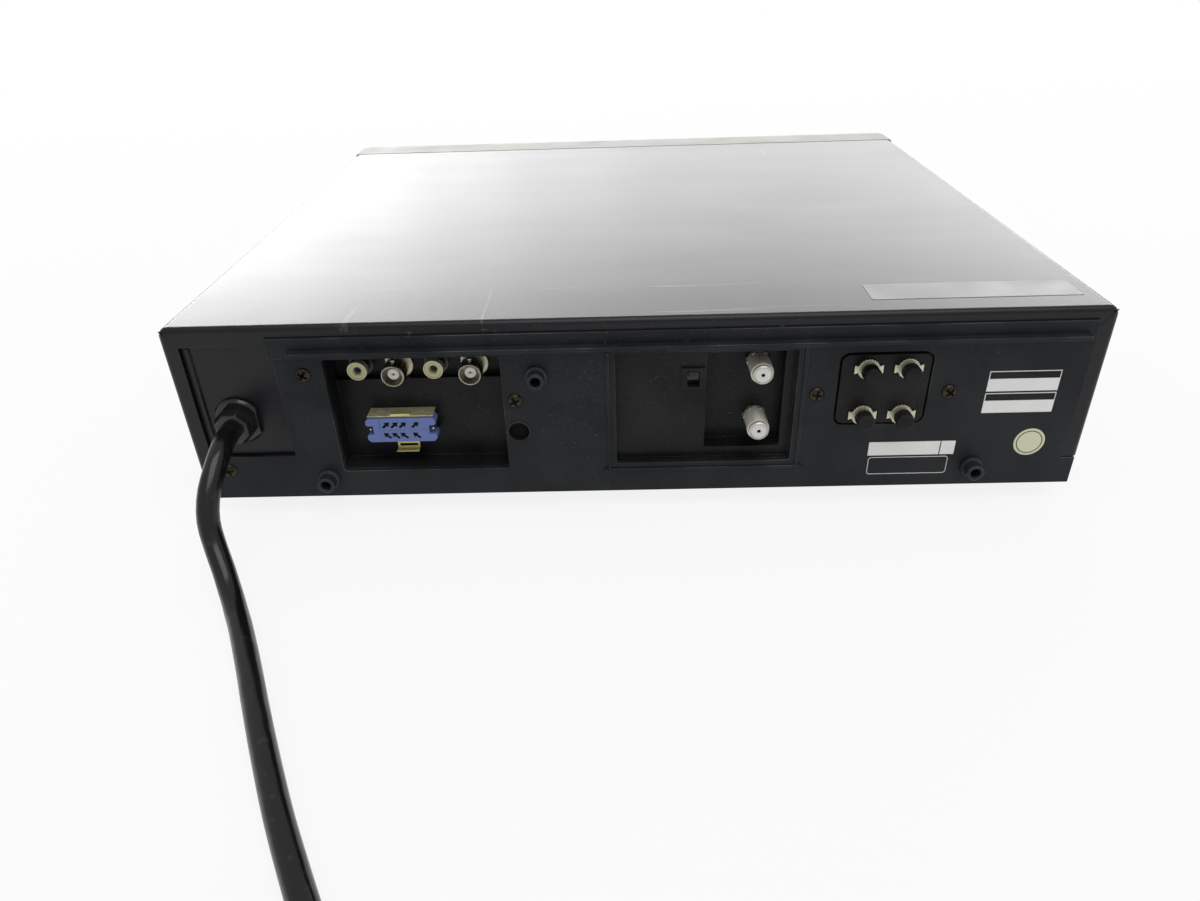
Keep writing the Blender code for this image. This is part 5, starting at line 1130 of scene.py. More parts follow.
screw_radius = 0.00315
screw_dome = 0.0017
screw_cross = 0.0011
screw_cross_reach = 0.0022
screw_cross_depth = 0.0014
screw_well_depth = 0.0006
screw_gaps = (0.0086, 0.0050, 0.0080, 0.0084, 0.0138)
screw_heights = (0.0597, 0.0457, 0.0457, 0.0457, 0.0145)


def screw_places():
    """Beside the bay twice, on both sides of the terminals and below the cord's recess."""
    edges = (bay_high.x, bay_low.x, terminal_high.x, terminal_low.x, half_width)
    signs = (1, -1, 1, -1, -1)
    return [
        (edge + sign * gap, height)
        for edge, sign, gap, height in zip(edges, signs, screw_gaps, screw_heights)
    ]


def screw_cross_mesh(x, z, turn, start, end, inset):
    """Two crossing bars along a screw's axis."""
    half, reach = screw_cross / 2 - inset, screw_cross_reach - inset
    mesh = bmesh.new()
    add_box(mesh, -reach, reach, start, end, -half, half)
    add_box(mesh, -half, half, start, end, -reach, reach)
    mesh.transform(Matrix.Translation((x, 0, z)) @ Matrix.Rotation(turn, 4, "Y"))
    return mesh


def make_panel_screws(look, dark):
    """Pan heads with a cross recess, its dark a near-black fill of painted shade, each turned a little
    differently.
    """
    for number, (x, height) in enumerate(screw_places(), 1):
        profile = [(0, rear_y), (screw_radius, rear_y), (screw_radius, panel_face_y + edge_ease)]
        for step in range(1, arc_steps):
            angle = quarter * step / arc_steps
            profile.append((screw_radius * math.cos(angle), panel_face_y + screw_dome * math.sin(angle)))
        profile.append((0, panel_face_y + screw_dome))
        made = shaped(f"panel_screw_{number}", add_turned, profile, small_steps, (x, 0, up(height)), "Y")
        face = panel_face_y + screw_dome
        cut(made, screw_cross_mesh(x, up(height), number, face - screw_cross_depth, face + overrun, 0))
        settle(made, look)
        # A near-black cross in the recess, short of the face: painted shade
        recess_shade = screw_cross_mesh(x, up(height), number, panel_face_y, face - screw_well_depth, fine_ease)
        settle(solid(f"screw_recess_shade_{number}", recess_shade), dark)


notice_right = 0.1732
notice_left = 0.1443
notice_low = 0.0353
notice_high = 0.0545
notice_gap = 0.0008
notice_bar = 0.0030
notice_margin = 0.0004
serial_left = 0.1000
serial_right = 0.1365
serial_low = 0.0156
serial_high = 0.0222
serial_split = 0.0064
outline_left = 0.1006
outline_right = 0.1346
outline_low = 0.0061
outline_high = 0.0147
outline_corner = 0.0014
outline_line = 0.0003
sticker_x = -0.1674
sticker_height = 0.0209
sticker_radius = 0.0065
sticker_ring = 0.0054
sticker_line = 0.0003


def add_print(name, outlines, look, layers=1):
    """Blank printing or a label on the rear panel: flat outlines as thick as ink or paper."""
    mesh = bmesh.new()
    for outline in outlines:
        back = panel_face_y + print_thickness * (layers - 1)
        add_prism(mesh, outline, "Y", back, panel_face_y + print_thickness * layers)
    settle(solid(name, mesh), look)


def box_outline(x0, z0, x1, z1):
    return [(x0, z0), (x1, z0), (x1, z1), (x0, z1)]


def make_labels(white, cream, dark):
    """Two notice boxes with dark heads, a serial plate, an empty frame and a round sticker, all blank."""
    middle_z = (notice_low + notice_high) / 2
    boxes = ((notice_low, middle_z - notice_gap / 2), (middle_z + notice_gap / 2, notice_high))
    add_print(
        "notice_boxes", [box_outline(-notice_right, up(a), -notice_left, up(b)) for a, b in boxes], white,
    )
    bars = []
    for a, b in boxes:
        x0, x1 = -notice_right + notice_margin, -notice_left - notice_margin
        bars.append(box_outline(x0, up(b) - notice_margin - notice_bar, x1, up(b) - notice_margin))
    add_print("notice_heads", bars, dark, 2)
    split = -serial_right + serial_split
    plates = [box_outline(-serial_right, up(serial_low), split - notice_margin, up(serial_high))]
    plates.append(box_outline(split, up(serial_low), -serial_left, up(serial_high)))
    add_print("serial_plate", plates, white)
    low, high = up(outline_low), up(outline_high)
    x0, x1 = -outline_right, -outline_left
    made = shaped(
        "empty_frame", add_prism, rounded(x0, low, x1, high, outline_corner), "Y", panel_face_y,
        panel_face_y + print_thickness,
    )
    line = outline_line
    inner = rounded(x0 + line, low + line, x1 - line, high - line, outline_corner - line)
    carve(made, add_prism, inner, "Y", panel_face_y - overrun, panel_face_y + overrun)
    settle(made, white)
    centre = (sticker_x, up(sticker_height))
    add_print("round_sticker", [arc(*centre, sticker_radius, 0, 4, round_steps)[:-1]], cream)
    ring = []
    for step in range(round_steps):
        a, b = step * 4 / round_steps, (step + 1) * 4 / round_steps
        ring.append(
            arc(*centre, sticker_ring, a, b, 1) + arc(*centre, sticker_ring - sticker_line, b, a, 1),
        )
    add_print("sticker_ring", ring, dark, 2)


# Cord gland: round flange, flat-sided nose with a lip round the cord

gland_neck = 0.0078
gland_flange = 0.0104
gland_flange_depth = 0.0022
gland_flat = 0.0086
gland_body = 0.0084
gland_tip = 0.0070
gland_chamfer = 0.0010
gland_tail = 0.0130
gland_tail_radius = 0.0056
gland_split = 0.0006
gland_sides = 8
inlet_rail_stand = 0.0009
inlet_seat_y = inlet_high.y - inlet_rail_stand


def make_gland(look):
    """Snap-in bushing: a tapered split tail inside, a thin flange and an eight-sided nose."""
    centre = middle("cord_gland")
    back_y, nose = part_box("cord_gland")[0].y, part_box("cord_gland")[1].y
    seat = inlet_seat_y + fit
    turn = whole_turn / gland_sides / 2
    profile = [
        (0, back_y), (gland_tail_radius, back_y), (gland_neck, back_y + gland_tail - gland_chamfer),
        (gland_neck, seat), (gland_flange, seat),
        (gland_flange, seat + gland_flange_depth - gland_chamfer),
        (gland_flange - gland_chamfer, seat + gland_flange_depth), (0, seat + gland_flange_depth),
    ]
    made = shaped("gland_flange", add_turned, profile, round_steps, (centre.x, 0, centre.z), "Y")
    mesh = bmesh.new()
    for sign in (-1, 1):
        x0, x1 = sorted((centre.x + sign * gland_flat, centre.x + sign * (gland_flange + overrun)))
        reach = gland_flange + overrun
        add_box(mesh, x0, x1, seat - fit, nose, centre.z - reach, centre.z + reach)
    half = gland_split / 2
    end = back_y + gland_tail - gland_chamfer
    add_box(
        mesh, centre.x - half, centre.x + half, back_y - overrun, end, centre.z - gland_neck,
        centre.z + gland_neck,
    )
    cut(made, mesh)
    settle(made, look, replaces=("cord_gland",), ease=fine_ease, slot="gloss_black")
    rings = []
    start = seat + gland_flange_depth
    sections = (
        (gland_body, start - fit), (gland_body, (start + nose) / 2),
        (gland_tip, nose - gland_chamfer / 2), (gland_tip - gland_chamfer, nose),
    )
    for radius, along in sections:
        angles = [turn + whole_turn * k / gland_sides for k in range(gland_sides)]
        rings.append([
            (centre.x + radius * math.cos(a), along, centre.z + radius * math.sin(a))
            for a in angles
        ])
    make_piece("gland_nose", look, add_loft, rings, ease=edge_ease, slot="gloss_black")


# Sockets in the jack bay

phono_radius = 0.00415
phono_nut = 0.0052
phono_reach = 0.0085
phono_shell = 0.0005
phono_bore = 0.0021
phono_contact = 0.0017
phono_sunk = 0.0004
phono_ring = 0.0034
bayonet_radius = 0.00485
bayonet_flange = 0.0063
bayonet_flange_flat = 0.0052
bayonet_reach = 0.0128
bayonet_bore = 0.0042
bayonet_core = 0.0025
bayonet_core_sunk = 0.0022
bayonet_pin = 0.0006
bayonet_depth = 0.0085
bayonet_lug = 0.0010
bayonet_lug_stand = 0.0010
bayonet_lug_back = 0.0042
bayonet_slot_width = 0.0022
jack_flange = 0.0012
jack_chamfer = 0.0003


def socket_place(node, reach):
    """The middle of a socket across the panel, its seat and its tip."""
    centre = middle(node)
    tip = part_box(node)[1].y
    return (centre.x, 0, centre.z), tip - reach, tip


def add_tube(name, centre, inner, outer, start, end, look, slot="nickel", replaces=()):
    """An open ring with eased rims, between two radii."""
    ease = min((outer - inner) / 3, fine_ease)
    profile = [(inner, start), (outer, start), (outer, end - ease), (outer - ease, end)]
    profile += [(inner + ease, end), (inner, end - ease)]
    settle(ring_solid(name, profile, centre), look, slot=slot, replaces=replaces)


def make_phono_jacks(yellow, dark, metal):
    """Dark housing, then a yellow ring in a thin metal shell round the contact tube."""
    for number in (1, 2):
        node = f"phono_jack_{number}"
        centre, seat, tip = socket_place(node, phono_reach)
        inner = phono_radius - phono_shell
        ring = tip - phono_ring
        profile = [
            (0, seat), (phono_nut, seat), (phono_nut, seat + jack_flange),
            (phono_radius, seat + jack_flange), (phono_radius, ring), (0, ring),
        ]
        make_piece(
            f"phono_housing_{number}", dark, add_turned, profile, round_steps, centre, "Y",
            slot="gloss_black",
        )
        name = f"phono_insulator_{number}"
        add_tube(
            name, centre, phono_bore, inner, ring - fit, tip - phono_sunk, yellow, "phono_yellow",
            (node,),
        )
        add_tube(f"phono_shell_{number}", centre, inner, phono_radius, ring - fit, tip, metal)
        end = tip - 2 * phono_sunk
        add_tube(f"phono_contact_{number}", centre, phono_contact, phono_bore, ring, end, metal)


def make_bayonet_jacks(metal, flange_look, pale):
    """Dark plated barrel with a bright rim and two lugs, pale core with a pin slot, D-shaped flange."""
    for number in (1, 2):
        node = f"bayonet_jack_{number}"
        centre, seat, tip = socket_place(node, bayonet_reach)
        x, z = centre[0], centre[2]
        outline = arc(x, z, bayonet_flange, 0, 4, round_steps)[:-1]
        flat = [(min(a, x + bayonet_flange_flat), b) for a, b in outline]
        make_piece(
            f"bayonet_flange_{number}", flange_look, add_prism, flat, "Y", seat, seat + jack_flange,
            ease=fine_ease, slot="nickel",
        )
        profile = [
            (0, seat), (bayonet_radius, seat), (bayonet_radius, tip - 2 * jack_chamfer),
            (bayonet_radius - jack_chamfer, tip - jack_chamfer), (bayonet_radius - jack_chamfer, tip),
            (bayonet_bore, tip), (bayonet_bore, tip - bayonet_depth), (0, tip - bayonet_depth),
        ]
        make_piece(
            f"bayonet_barrel_{number}", metal, add_turned, profile, round_steps, centre, "Y",
            replaces=(node,), slot="nickel",
        )
        face = tip - bayonet_core_sunk
        profile = [
            (0, tip - bayonet_depth), (bayonet_core, tip - bayonet_depth),
            (bayonet_core, face - jack_chamfer), (bayonet_core - jack_chamfer, face), (bayonet_pin, face),
            (bayonet_pin, face - bayonet_slot_width), (0, face - bayonet_slot_width),
        ]
        core = shaped(f"bayonet_core_{number}", add_turned, profile, round_steps, centre, "Y")
        half, reach = bayonet_pin / 2, bayonet_slot_width / 2
        carve(
            core, add_box, x - reach, x + reach, face - jack_chamfer, face + overrun, z - half, z + half,
        )
        settle(core, pale)
        for name, sign in (("top", 1), ("foot", -1)):
            start, end = sorted((
                z + sign * (bayonet_radius - fit), z + sign * (bayonet_radius + bayonet_lug_stand),
            ))
            make_piece(
                f"bayonet_lug_{name}_{number}", metal, add_rod, (x, tip - bayonet_lug_back), "Z",
                bayonet_lug, start, end, ease=fine_ease, slot="nickel",
            )


connector_front = 0.0062
connector_notch = 0.0030
connector_notch_height = 0.0042
connector_clip = 0.0013
connector_waist = 0.0018
connector_pin = 0.0008
connector_step = 0.0008
slot_width = 0.0011
slot_length = 0.0042
slot_head = 0.0030
slot_depth = 0.0030
slot_pitch = 0.0036
slot_shares = (0, 1, 2, 3.5)
slot_row_share = 0.45
slot_tilt = math.radians(50)
parting_line = 0.00022
parting_gap = 0.0007
parting_side_share = 0.2


def connector_outline(low, high):
    """The face with clipped corners and a notch in the middle of each side."""
    centre = (low.z + high.z) / 2
    notch_low, notch_high = centre - connector_notch_height / 2, centre + connector_notch_height / 2
    corner, deep = connector_clip, connector_notch
    return [
        (low.x + corner, low.z), (high.x - corner, low.z), (high.x, low.z + corner),
        (high.x, notch_low - corner / 2), (high.x - corner / 2, notch_low), (high.x - deep, notch_low),
        (high.x - deep, notch_high), (high.x - corner / 2, notch_high), (high.x, notch_high + corner / 2),
        (high.x, high.z - corner), (high.x - corner, high.z), (low.x + corner, high.z),
        (low.x, high.z - corner), (low.x, notch_high + corner / 2), (low.x + corner / 2, notch_high),
        (low.x + deep, notch_high), (low.x + deep, notch_low), (low.x + corner / 2, notch_low),
        (low.x, notch_low - corner / 2), (low.x, low.z + corner),
    ]


def arrow_slot_mesh(places, start, end, inset):
    """Slanted arrows that point up, the lower row leaning the other way."""
    half, run, head = slot_width / 2 - inset, slot_length / 2 - inset, slot_head / 2 - inset
    arrow = [(-half, -run), (half, -run), (half, 0), (head, 0), (0, run), (-head, 0), (-half, 0)]
    mesh = bmesh.new()
    for x, z, sign in places:
        turned = Matrix.Rotation(-sign * slot_tilt, 3, "Y")
        rings = []
        for along in (start, end):
            rings.append([turned @ Vector((a, 0, b)) + Vector((x, along, z)) for a, b in arrow])
        add_loft(mesh, rings)
    return mesh


def make_connector(blue, metal, dark):
    """Eight-way block with arrow-shaped slots in two rows, each filled near-black as painted shade, guide
    pins and moulded parting lines.
    """
    low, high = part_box("monitor_connector")
    face = high.y
    outline = connector_outline(low, high)
    made = shaped("connector_block", add_prism, outline, "Y", face - connector_front, face)
    centre_x, centre_z = (low.x + high.x) / 2, (low.z + high.z) / 2
    row_drop = (high.z - low.z) / 2 * slot_row_share
    span = slot_pitch * slot_shares[-1]
    places = []
    for sign in (1, -1):
        for share in slot_shares:
            places.append((centre_x + span / 2 - slot_pitch * share, centre_z + sign * row_drop, sign))
    cut(made, arrow_slot_mesh(places, face - slot_depth, face + overrun, 0))
    # A near-black fill in every slot, just short of the face: painted shade
    slot_shade = arrow_slot_mesh(places, face - slot_depth + fit, face - fine_ease, fine_ease / 2)
    settle(solid("connector_slot_shade", slot_shade), dark)
    line = parting_line / 2
    x = high.x - (high.x - low.x) * parting_side_share
    carve(
        made, add_box, x - line, x + line, face - parting_line, face + overrun, low.z - fit, high.z + fit,
    )
    x0, x1 = low.x + connector_notch + parting_gap, x - parting_gap
    carve(made, add_box, x0, x1, face - parting_line, face + overrun, centre_z - line, centre_z + line)
    settle(made, blue, replaces=("monitor_connector",), ease=fine_ease, slot="connector_blue")
    waist = connector_waist
    make_piece(
        "connector_waist", blue, add_box, low.x + waist, high.x - waist, low.y,
        face - connector_front / 2, low.z + waist, high.z - waist, ease=fine_ease, slot="connector_blue",
    )
    for number, x in enumerate((low.x + connector_notch / 2, high.x - connector_notch / 2), 1):
        profile = [(0, face - connector_front), (connector_pin, face - connector_front)]
        profile += arc(0, face - connector_step - connector_pin, connector_pin, 0, 1)
        profile[-1] = (0, face - connector_step)
        make_piece(
            f"guide_pin_{number}", metal, add_turned, profile, small_steps, (x, 0, centre_z), "Y",
            slot="nickel",
        )


latch_sheet = 0.0006
latch_side = 0.0020
latch_tab_width = 0.0099
latch_tab_reach = 0.0040
latch_ridge_width = 0.0085
latch_ridge = 0.0012
latch_slot_width = 0.0030
latch_slot_gap = 0.0085
latch_slot_depth = 0.0009
latch_window = 0.0012


def make_latch(look, bright):
    """Sprung plate over the connector with a bright ridged tab, and a loop below it."""
    low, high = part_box("connector_latch")
    block_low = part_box("monitor_connector")[0]
    centre_x = (low.x + high.x) / 2
    roof = high.z - latch_ridge
    front = high.y
    plate_made = shaped("latch_roof", add_box, low.x, high.x, low.y, front, roof, roof + latch_sheet)
    mesh = bmesh.new()
    for sign in (-1, 1):
        x = centre_x + sign * latch_slot_gap
        half = latch_slot_width / 2
        y = (low.y + front) / 2
        add_box(mesh, x - half, x + half, y, y + latch_slot_depth, roof - overrun, roof + overrun)
    cut(plate_made, mesh)
    settle(plate_made, look, replaces=("connector_latch",), ease=fine_ease, slot="latch_steel")
    half = latch_ridge_width / 2
    section = [(front - latch_tab_reach, roof + latch_sheet / 2), (front, roof + latch_sheet / 2)]
    section += [(front - latch_sheet / 2, high.z - latch_sheet / 2), (front - latch_sheet, high.z)]
    section += [(front - latch_tab_reach + latch_sheet, high.z)]
    make_piece(
        "latch_ridge", bright, add_prism, section, "X", centre_x - half, centre_x + half, ease=fine_ease,
        slot="latch_steel",
    )
    half = latch_tab_width / 2
    foot = low.z
    back = shaped(
        "latch_loop", add_box, centre_x - half, centre_x + half, low.y, low.y + latch_sheet, foot,
        block_low.z + latch_side,
    )
    opening_low = foot + 2 * latch_sheet
    reach = half - latch_side / 2
    carve(
        back, add_box, centre_x - reach, centre_x + reach, low.y - overrun, front, opening_low,
        opening_low + latch_window,
    )
    settle(back, bright, ease=fine_ease, slot="latch_steel")
    end = low.y + latch_tab_reach
    make_piece(
        "latch_foot", bright, add_box, centre_x - half, centre_x + half, low.y, end, foot,
        foot + latch_sheet, ease=fine_ease, slot="latch_steel",
    )


# Aerial sockets with a hexagon, a real thread and a pale insulator

aerial_radius = 0.00475
aerial_hexagon = 0.0051
aerial_reach = 0.0148
aerial_thread = 0.00036
aerial_pitch = 0.0012
aerial_collar = 0.0022
aerial_collar_radius = 0.0042
aerial_recess = 0.0034
aerial_hole = 0.0008
aerial_hole_depth = 0.0014
thread_steps = 6
hexagon_sides = 6


def add_threaded(mesh, centre, radius, start, end):
    """A rod with a single-start thread of the aerial socket's pitch."""
    rows = round((end - start) / aerial_pitch * thread_steps)
    rings = []
    for row in range(rows + 1):
        along = start + (end - start) * row / rows
        ring = []
        for k in range(round_steps):
            share = k / round_steps
            wave = (1 - math.cos(whole_turn * (along / aerial_pitch - share))) / 2
            reach = radius - aerial_thread * wave
            angle = whole_turn * share
            ring.append((centre[0] + reach * math.cos(angle), along, centre[2] + reach * math.sin(angle)))
        rings.append(ring)
    add_loft(mesh, rings)


def make_aerial_jacks(metal, pale, dark):
    """Hexagon, threaded barrel, plain collar and a pale insulator with a contact hole, its dark a
    near-black rod of painted shade.
    """
    for place in ("upper", "lower"):
        node = f"{place}_aerial_jack"
        centre, seat, tip = socket_place(node, aerial_reach)
        outline = arc(centre[0], centre[2], aerial_hexagon, 0, 4, hexagon_sides)[:-1]
        make_piece(
            f"{place}_aerial_hexagon", metal, add_prism, outline, "Y", seat, seat + 2 * jack_flange,
            ease=fine_ease, slot="nickel",
        )
        collar = tip - aerial_collar
        make_piece(
            f"{place}_aerial_thread", metal, add_threaded, centre, aerial_radius, seat, collar,
            replaces=(node,), slot="nickel",
        )
        profile = [
            (0, collar - fit), (aerial_collar_radius, collar - fit),
            (aerial_collar_radius, tip - 2 * jack_chamfer),
            (aerial_collar_radius - 2 * jack_chamfer, tip), (aerial_recess, tip),
            (aerial_recess, tip - aerial_hole_depth), (0, tip - aerial_hole_depth),
        ]
        make_piece(
            f"{place}_aerial_collar", metal, add_turned, profile, round_steps, centre, "Y", slot="nickel",
        )
        name, bottom = f"{place}_aerial_insulator", tip - aerial_hole_depth + fine_ease
        add_tube(
            name, centre, aerial_hole, aerial_recess - fine_ease, bottom, tip - fine_ease, pale, None,
        )
        # A near-black rod filling the contact hole: painted shade
        make_piece(
            f"{place}_aerial_hole_shade", dark, add_rod, (centre[0], centre[2]), "Y",
            aerial_hole - fine_ease, bottom, tip - 2 * fit,
        )


# Twin-lead terminals

terminal_count = 4
terminal_gap = 0.0008
terminal_rim = 0.0005
terminal_line = 0.0003
terminal_line_inset = 0.0031
terminal_line_end = 0.0040
stud_radius = 0.0015
washer_radius = 0.00445
washer_teeth = 22
washer_valley = 0.0042
washer_ear = 0.00575
washer_ear_half = 0.0013
washer_ear_root = 0.0040
washer_ear_flare_share = 1.4
thumb_radius = 0.0036
thumb_valley = 0.0033
thumb_ribs = 22
thumb_ease = 0.0005
thumb_face = 0.0030
thumb_collar = 0.0026
thumb_collar_depth = 0.0010


def make_terminal_plate(look):
    """A rounded plate in a dark gap, with an eased rim and one scored line."""
    low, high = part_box("terminal_plate")
    gap, face = terminal_gap, high.y
    x0, x1 = terminal_low.x + gap, terminal_high.x - gap
    z0, z1 = terminal_low.z + gap, terminal_high.z - gap
    make_piece(
        "terminal_flange", look, add_box, low.x, high.x, low.y, low.y + plate, low.z, high.z,
        ease=edge_ease, slot="bay_plastic",
    )
    rings = []
    for inset, along in ((0, low.y + plate / 2), (0, face - terminal_rim), (terminal_rim / 3, face)):
        outline = rounded(x0 + inset, z0 + inset, x1 - inset, z1 - inset, terminal_corner - gap - inset)
        rings.append([placed("Y", pair, along) for pair in outline])
    made = shaped("terminal_face", add_loft, rings)
    mesh = bmesh.new()
    for number in range(terminal_count):
        place = middle(f"terminal_washer_{number + 1}")
        add_rod(mesh, (place.x, place.z), "Y", stud_radius + fit, face - terminal_rim, face + overrun)
    line = terminal_line / 2
    x = x0 + terminal_line_inset
    add_box(
        mesh, x - line, x + line, face - terminal_line, face + overrun, z0 + terminal_line_end,
        z1 - terminal_line_end,
    )
    cut(made, mesh)
    settle(made, look, replaces=("terminal_plate",), ease=fine_ease, slot="bay_plastic")


def make_terminal_washers(look):
    """Toothed washers with two bent ears each."""
    for number in range(1, terminal_count + 1):
        node = f"terminal_washer_{number}"
        low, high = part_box(node)
        place = middle(node)
        mesh = bmesh.new()
        add_prism(mesh, ribbed(washer_valley, washer_radius, washer_teeth), "Y", low.y, high.y)
        for sign in (-1, 1):
            root, tip = sign * washer_ear_root, sign * washer_ear
            flared = washer_ear_half * washer_ear_flare_share
            outline = [(root, -washer_ear_half), (tip, -flared), (tip, flared), (root, washer_ear_half)]
            add_prism(mesh, outline, "Y", low.y + fine_ease, high.y)
        mesh.transform(Matrix.Translation((place.x, 0, place.z)))
        made = solid(f"toothed_washer_{number}", mesh)
        carve(
            made, add_rod, (place.x, place.z), "Y", stud_radius + fit, low.y - overrun, high.y + overrun,
        )
        settle(made, look, f"washer_{number}", (node,), fine_ease, "washer_nickel")


def make_thumb_screws(look, face_look):
    """Ribbed plastic heads on a collar and stud, each with a smooth round face."""
    for number in range(1, terminal_count + 1):
        node = f"thumb_screw_{number}"
        low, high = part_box(node)
        place = middle(node)
        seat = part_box(f"terminal_washer_{number}")[1].y + fit
        end = high.y - thumb_ease / 2
        rings = []
        foot = seat + thumb_collar_depth
        sections = ((thumb_ease, foot), (0, foot + thumb_ease), (0, end - thumb_ease), (thumb_ease, end))
        for inset, along in sections:
            outline = ribbed(thumb_valley - inset, thumb_radius - inset, thumb_ribs)
            rings.append([(place.x + a, along, place.z + b) for a, b in outline])
        body = f"screw_{number}"
        make_piece(
            f"ribbed_head_{number}", look, add_loft, rings, body=body, replaces=(node,), slot="knob_black",
        )
        profile = [
            (0, low.y), (stud_radius, low.y), (stud_radius, seat), (thumb_collar, seat),
            (thumb_collar, end), (thumb_face, end), (thumb_face, high.y - fine_ease),
            (thumb_face - thumb_ease / 2, high.y), (0, high.y),
        ]
        make_piece(
            f"round_face_{number}", face_look, add_turned, profile, small_steps, (place.x, 0, place.z),
            "Y", body=body, slot="knob_black",
        )


# Channel switch and front keys

switch_knob_width = 0.0044
switch_knob_height = 0.0024
switch_ridges = 3
switch_ridge = 0.0003
mark_stand = 0.0001
mark_half = 0.0020
key_corner = 0.0009
key_ease = 0.0004
key_fit = 0.0003
key_flange = 0.0028
key_names = ("power", "eject", "rewind", "play", "forward", "stop", "pause", "record")
# Outlines in shares of a mark's half size, seen from the front
key_marks = {
    "power": [[(-0.15, -1), (0.15, -1), (0.15, 1), (-0.15, 1)]],
    "eject": [[(-1, -0.2), (1, -0.2), (0, 1)], [(-1, -0.9), (1, -0.9), (1, -0.5), (-1, -0.5)]],
    "rewind": [[(0, -0.7), (0, 0.7), (-1, 0)], [(1, -0.7), (1, 0.7), (0, 0)]],
    "play": [[(-0.6, -0.8), (0.8, 0), (-0.6, 0.8)]],
    "forward": [[(0, -0.7), (0, 0.7), (1, 0)], [(-1, -0.7), (-1, 0.7), (0, 0)]],
    "stop": [[(-0.7, -0.7), (0.7, -0.7), (0.7, 0.7), (-0.7, 0.7)]],
    "pause": [
        [(-0.7, -0.8), (-0.2, -0.8), (-0.2, 0.8), (-0.7, 0.8)],
        [(0.2, -0.8), (0.7, -0.8), (0.7, 0.8), (0.2, 0.8)],
    ],
    "record": [arc(0, 0, 0.8, 0, 4, small_steps)[:-1]],
}


def make_keys(look, mark_look):
    """Eased caps with a stop flange behind, each with its plain transport mark."""
    for name in key_names:
        node = f"{name}_button"
        low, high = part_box(node)
        place = middle(node)
        lap = 3 * key_fit
        half_w, half_h = (high.x - low.x) / 2 - lap + key_fit, (high.z - low.z) / 2 - lap + key_fit
        face = low.y + mark_stand
        rings = []
        for step in range(arc_steps + 1):
            angle = quarter * step / arc_steps
            inset = key_ease * (1 - math.sin(angle))
            w, h = half_w - inset, half_h - inset
            outline = rounded(-w, -h, w, h, key_corner - inset)
            along = face + key_ease * (1 - math.cos(angle))
            rings.append([(place.x + a, along, place.z + b) for a, b in outline])
        rings.append([(x, high.y - key_flange, z) for x, y, z in rings[-1]])
        make_piece(
            f"{name}_cap", look, add_loft, rings, body=f"{name}_key", replaces=(node,),
            slot="button_silver",
        )
        mesh = bmesh.new()
        for outline in key_marks[name]:
            points = [(place.x + mark_half * a, place.z + mark_half * b) for a, b in outline]
            add_prism(mesh, points, "Y", low.y, face + fine_ease)
        settle(solid(f"{name}_mark", mesh), mark_look, f"{name}_key")


def make_switch_ridges(look):
    """Grip ridges across the knob of the channel switch."""
    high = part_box("channel_switch")[1]
    place = middle("channel_switch")
    half_w = switch_knob_width / 2
    pitch = switch_knob_height / switch_ridges
    mesh = bmesh.new()
    for number in range(switch_ridges):
        z = place.z + pitch * (number - (switch_ridges - 1) / 2)
        add_box(
            mesh, place.x - half_w, place.x + half_w, high.y - fit, high.y + switch_ridge, z - pitch / 3,
            z + pitch / 3,
        )
    settle(solid("switch_ridges", mesh), look, "switch_slider", ease=fine_ease, slot="gloss_black")


door_ribs = 3
door_rib_height = 0.0009
door_rib_pitch = 0.0024
door_rib_stand = 0.0004
door_rib_inset = 0.006
door_rib_rise = 0.0050


def make_door_ribs(look):
    """Grip ribs low on the cassette door."""
    low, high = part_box("cassette_door")
    mesh = bmesh.new()
    for number in range(door_ribs):
        z = low.z + door_rib_rise + door_rib_pitch * number
        x0, x1 = low.x + door_rib_inset, high.x - door_rib_inset
        add_box(mesh, x0, x1, low.y - door_rib_stand, low.y + fit, z, z + door_rib_height)
    settle(solid("door_ribs", mesh), look, "cassette_flap", ease=fine_ease, slot="door_grey")


# Stage: a pale floor, a white surround and soft lights

floor_reach = 40.0
floor_shade = 0.80
floor_roughness = 0.9
floor_lift_share = 0.86
floor_near = 0.45
floor_far = 1.6
world_level = 0.55
panel_count = 12
panel_height = 0.85
panel_distance = 2.5
panel_first_x = 2.0
panel_last_x = -2.0
panel_middle_z = 0.86
panel_dim = 4.35
panel_rise = 29
panel_dim_share = 0.63
panel_brightest = 11.5
overhead_size = 1.8
overhead_place = (-0.3, 0.7, 2.2)
overhead_power = 22
lamp_aim = (0, 0, 0.05)


def ray_share(look, kinds):
    """One for the named kinds of ray, nothing for the others."""
    rays = add_node(look, "LightPath", {})
    seen = rays.outputs[kinds[0]]
    for kind in kinds[1:]:
        seen = join(look, "MAXIMUM", seen, rays.outputs[kind])
    return seen


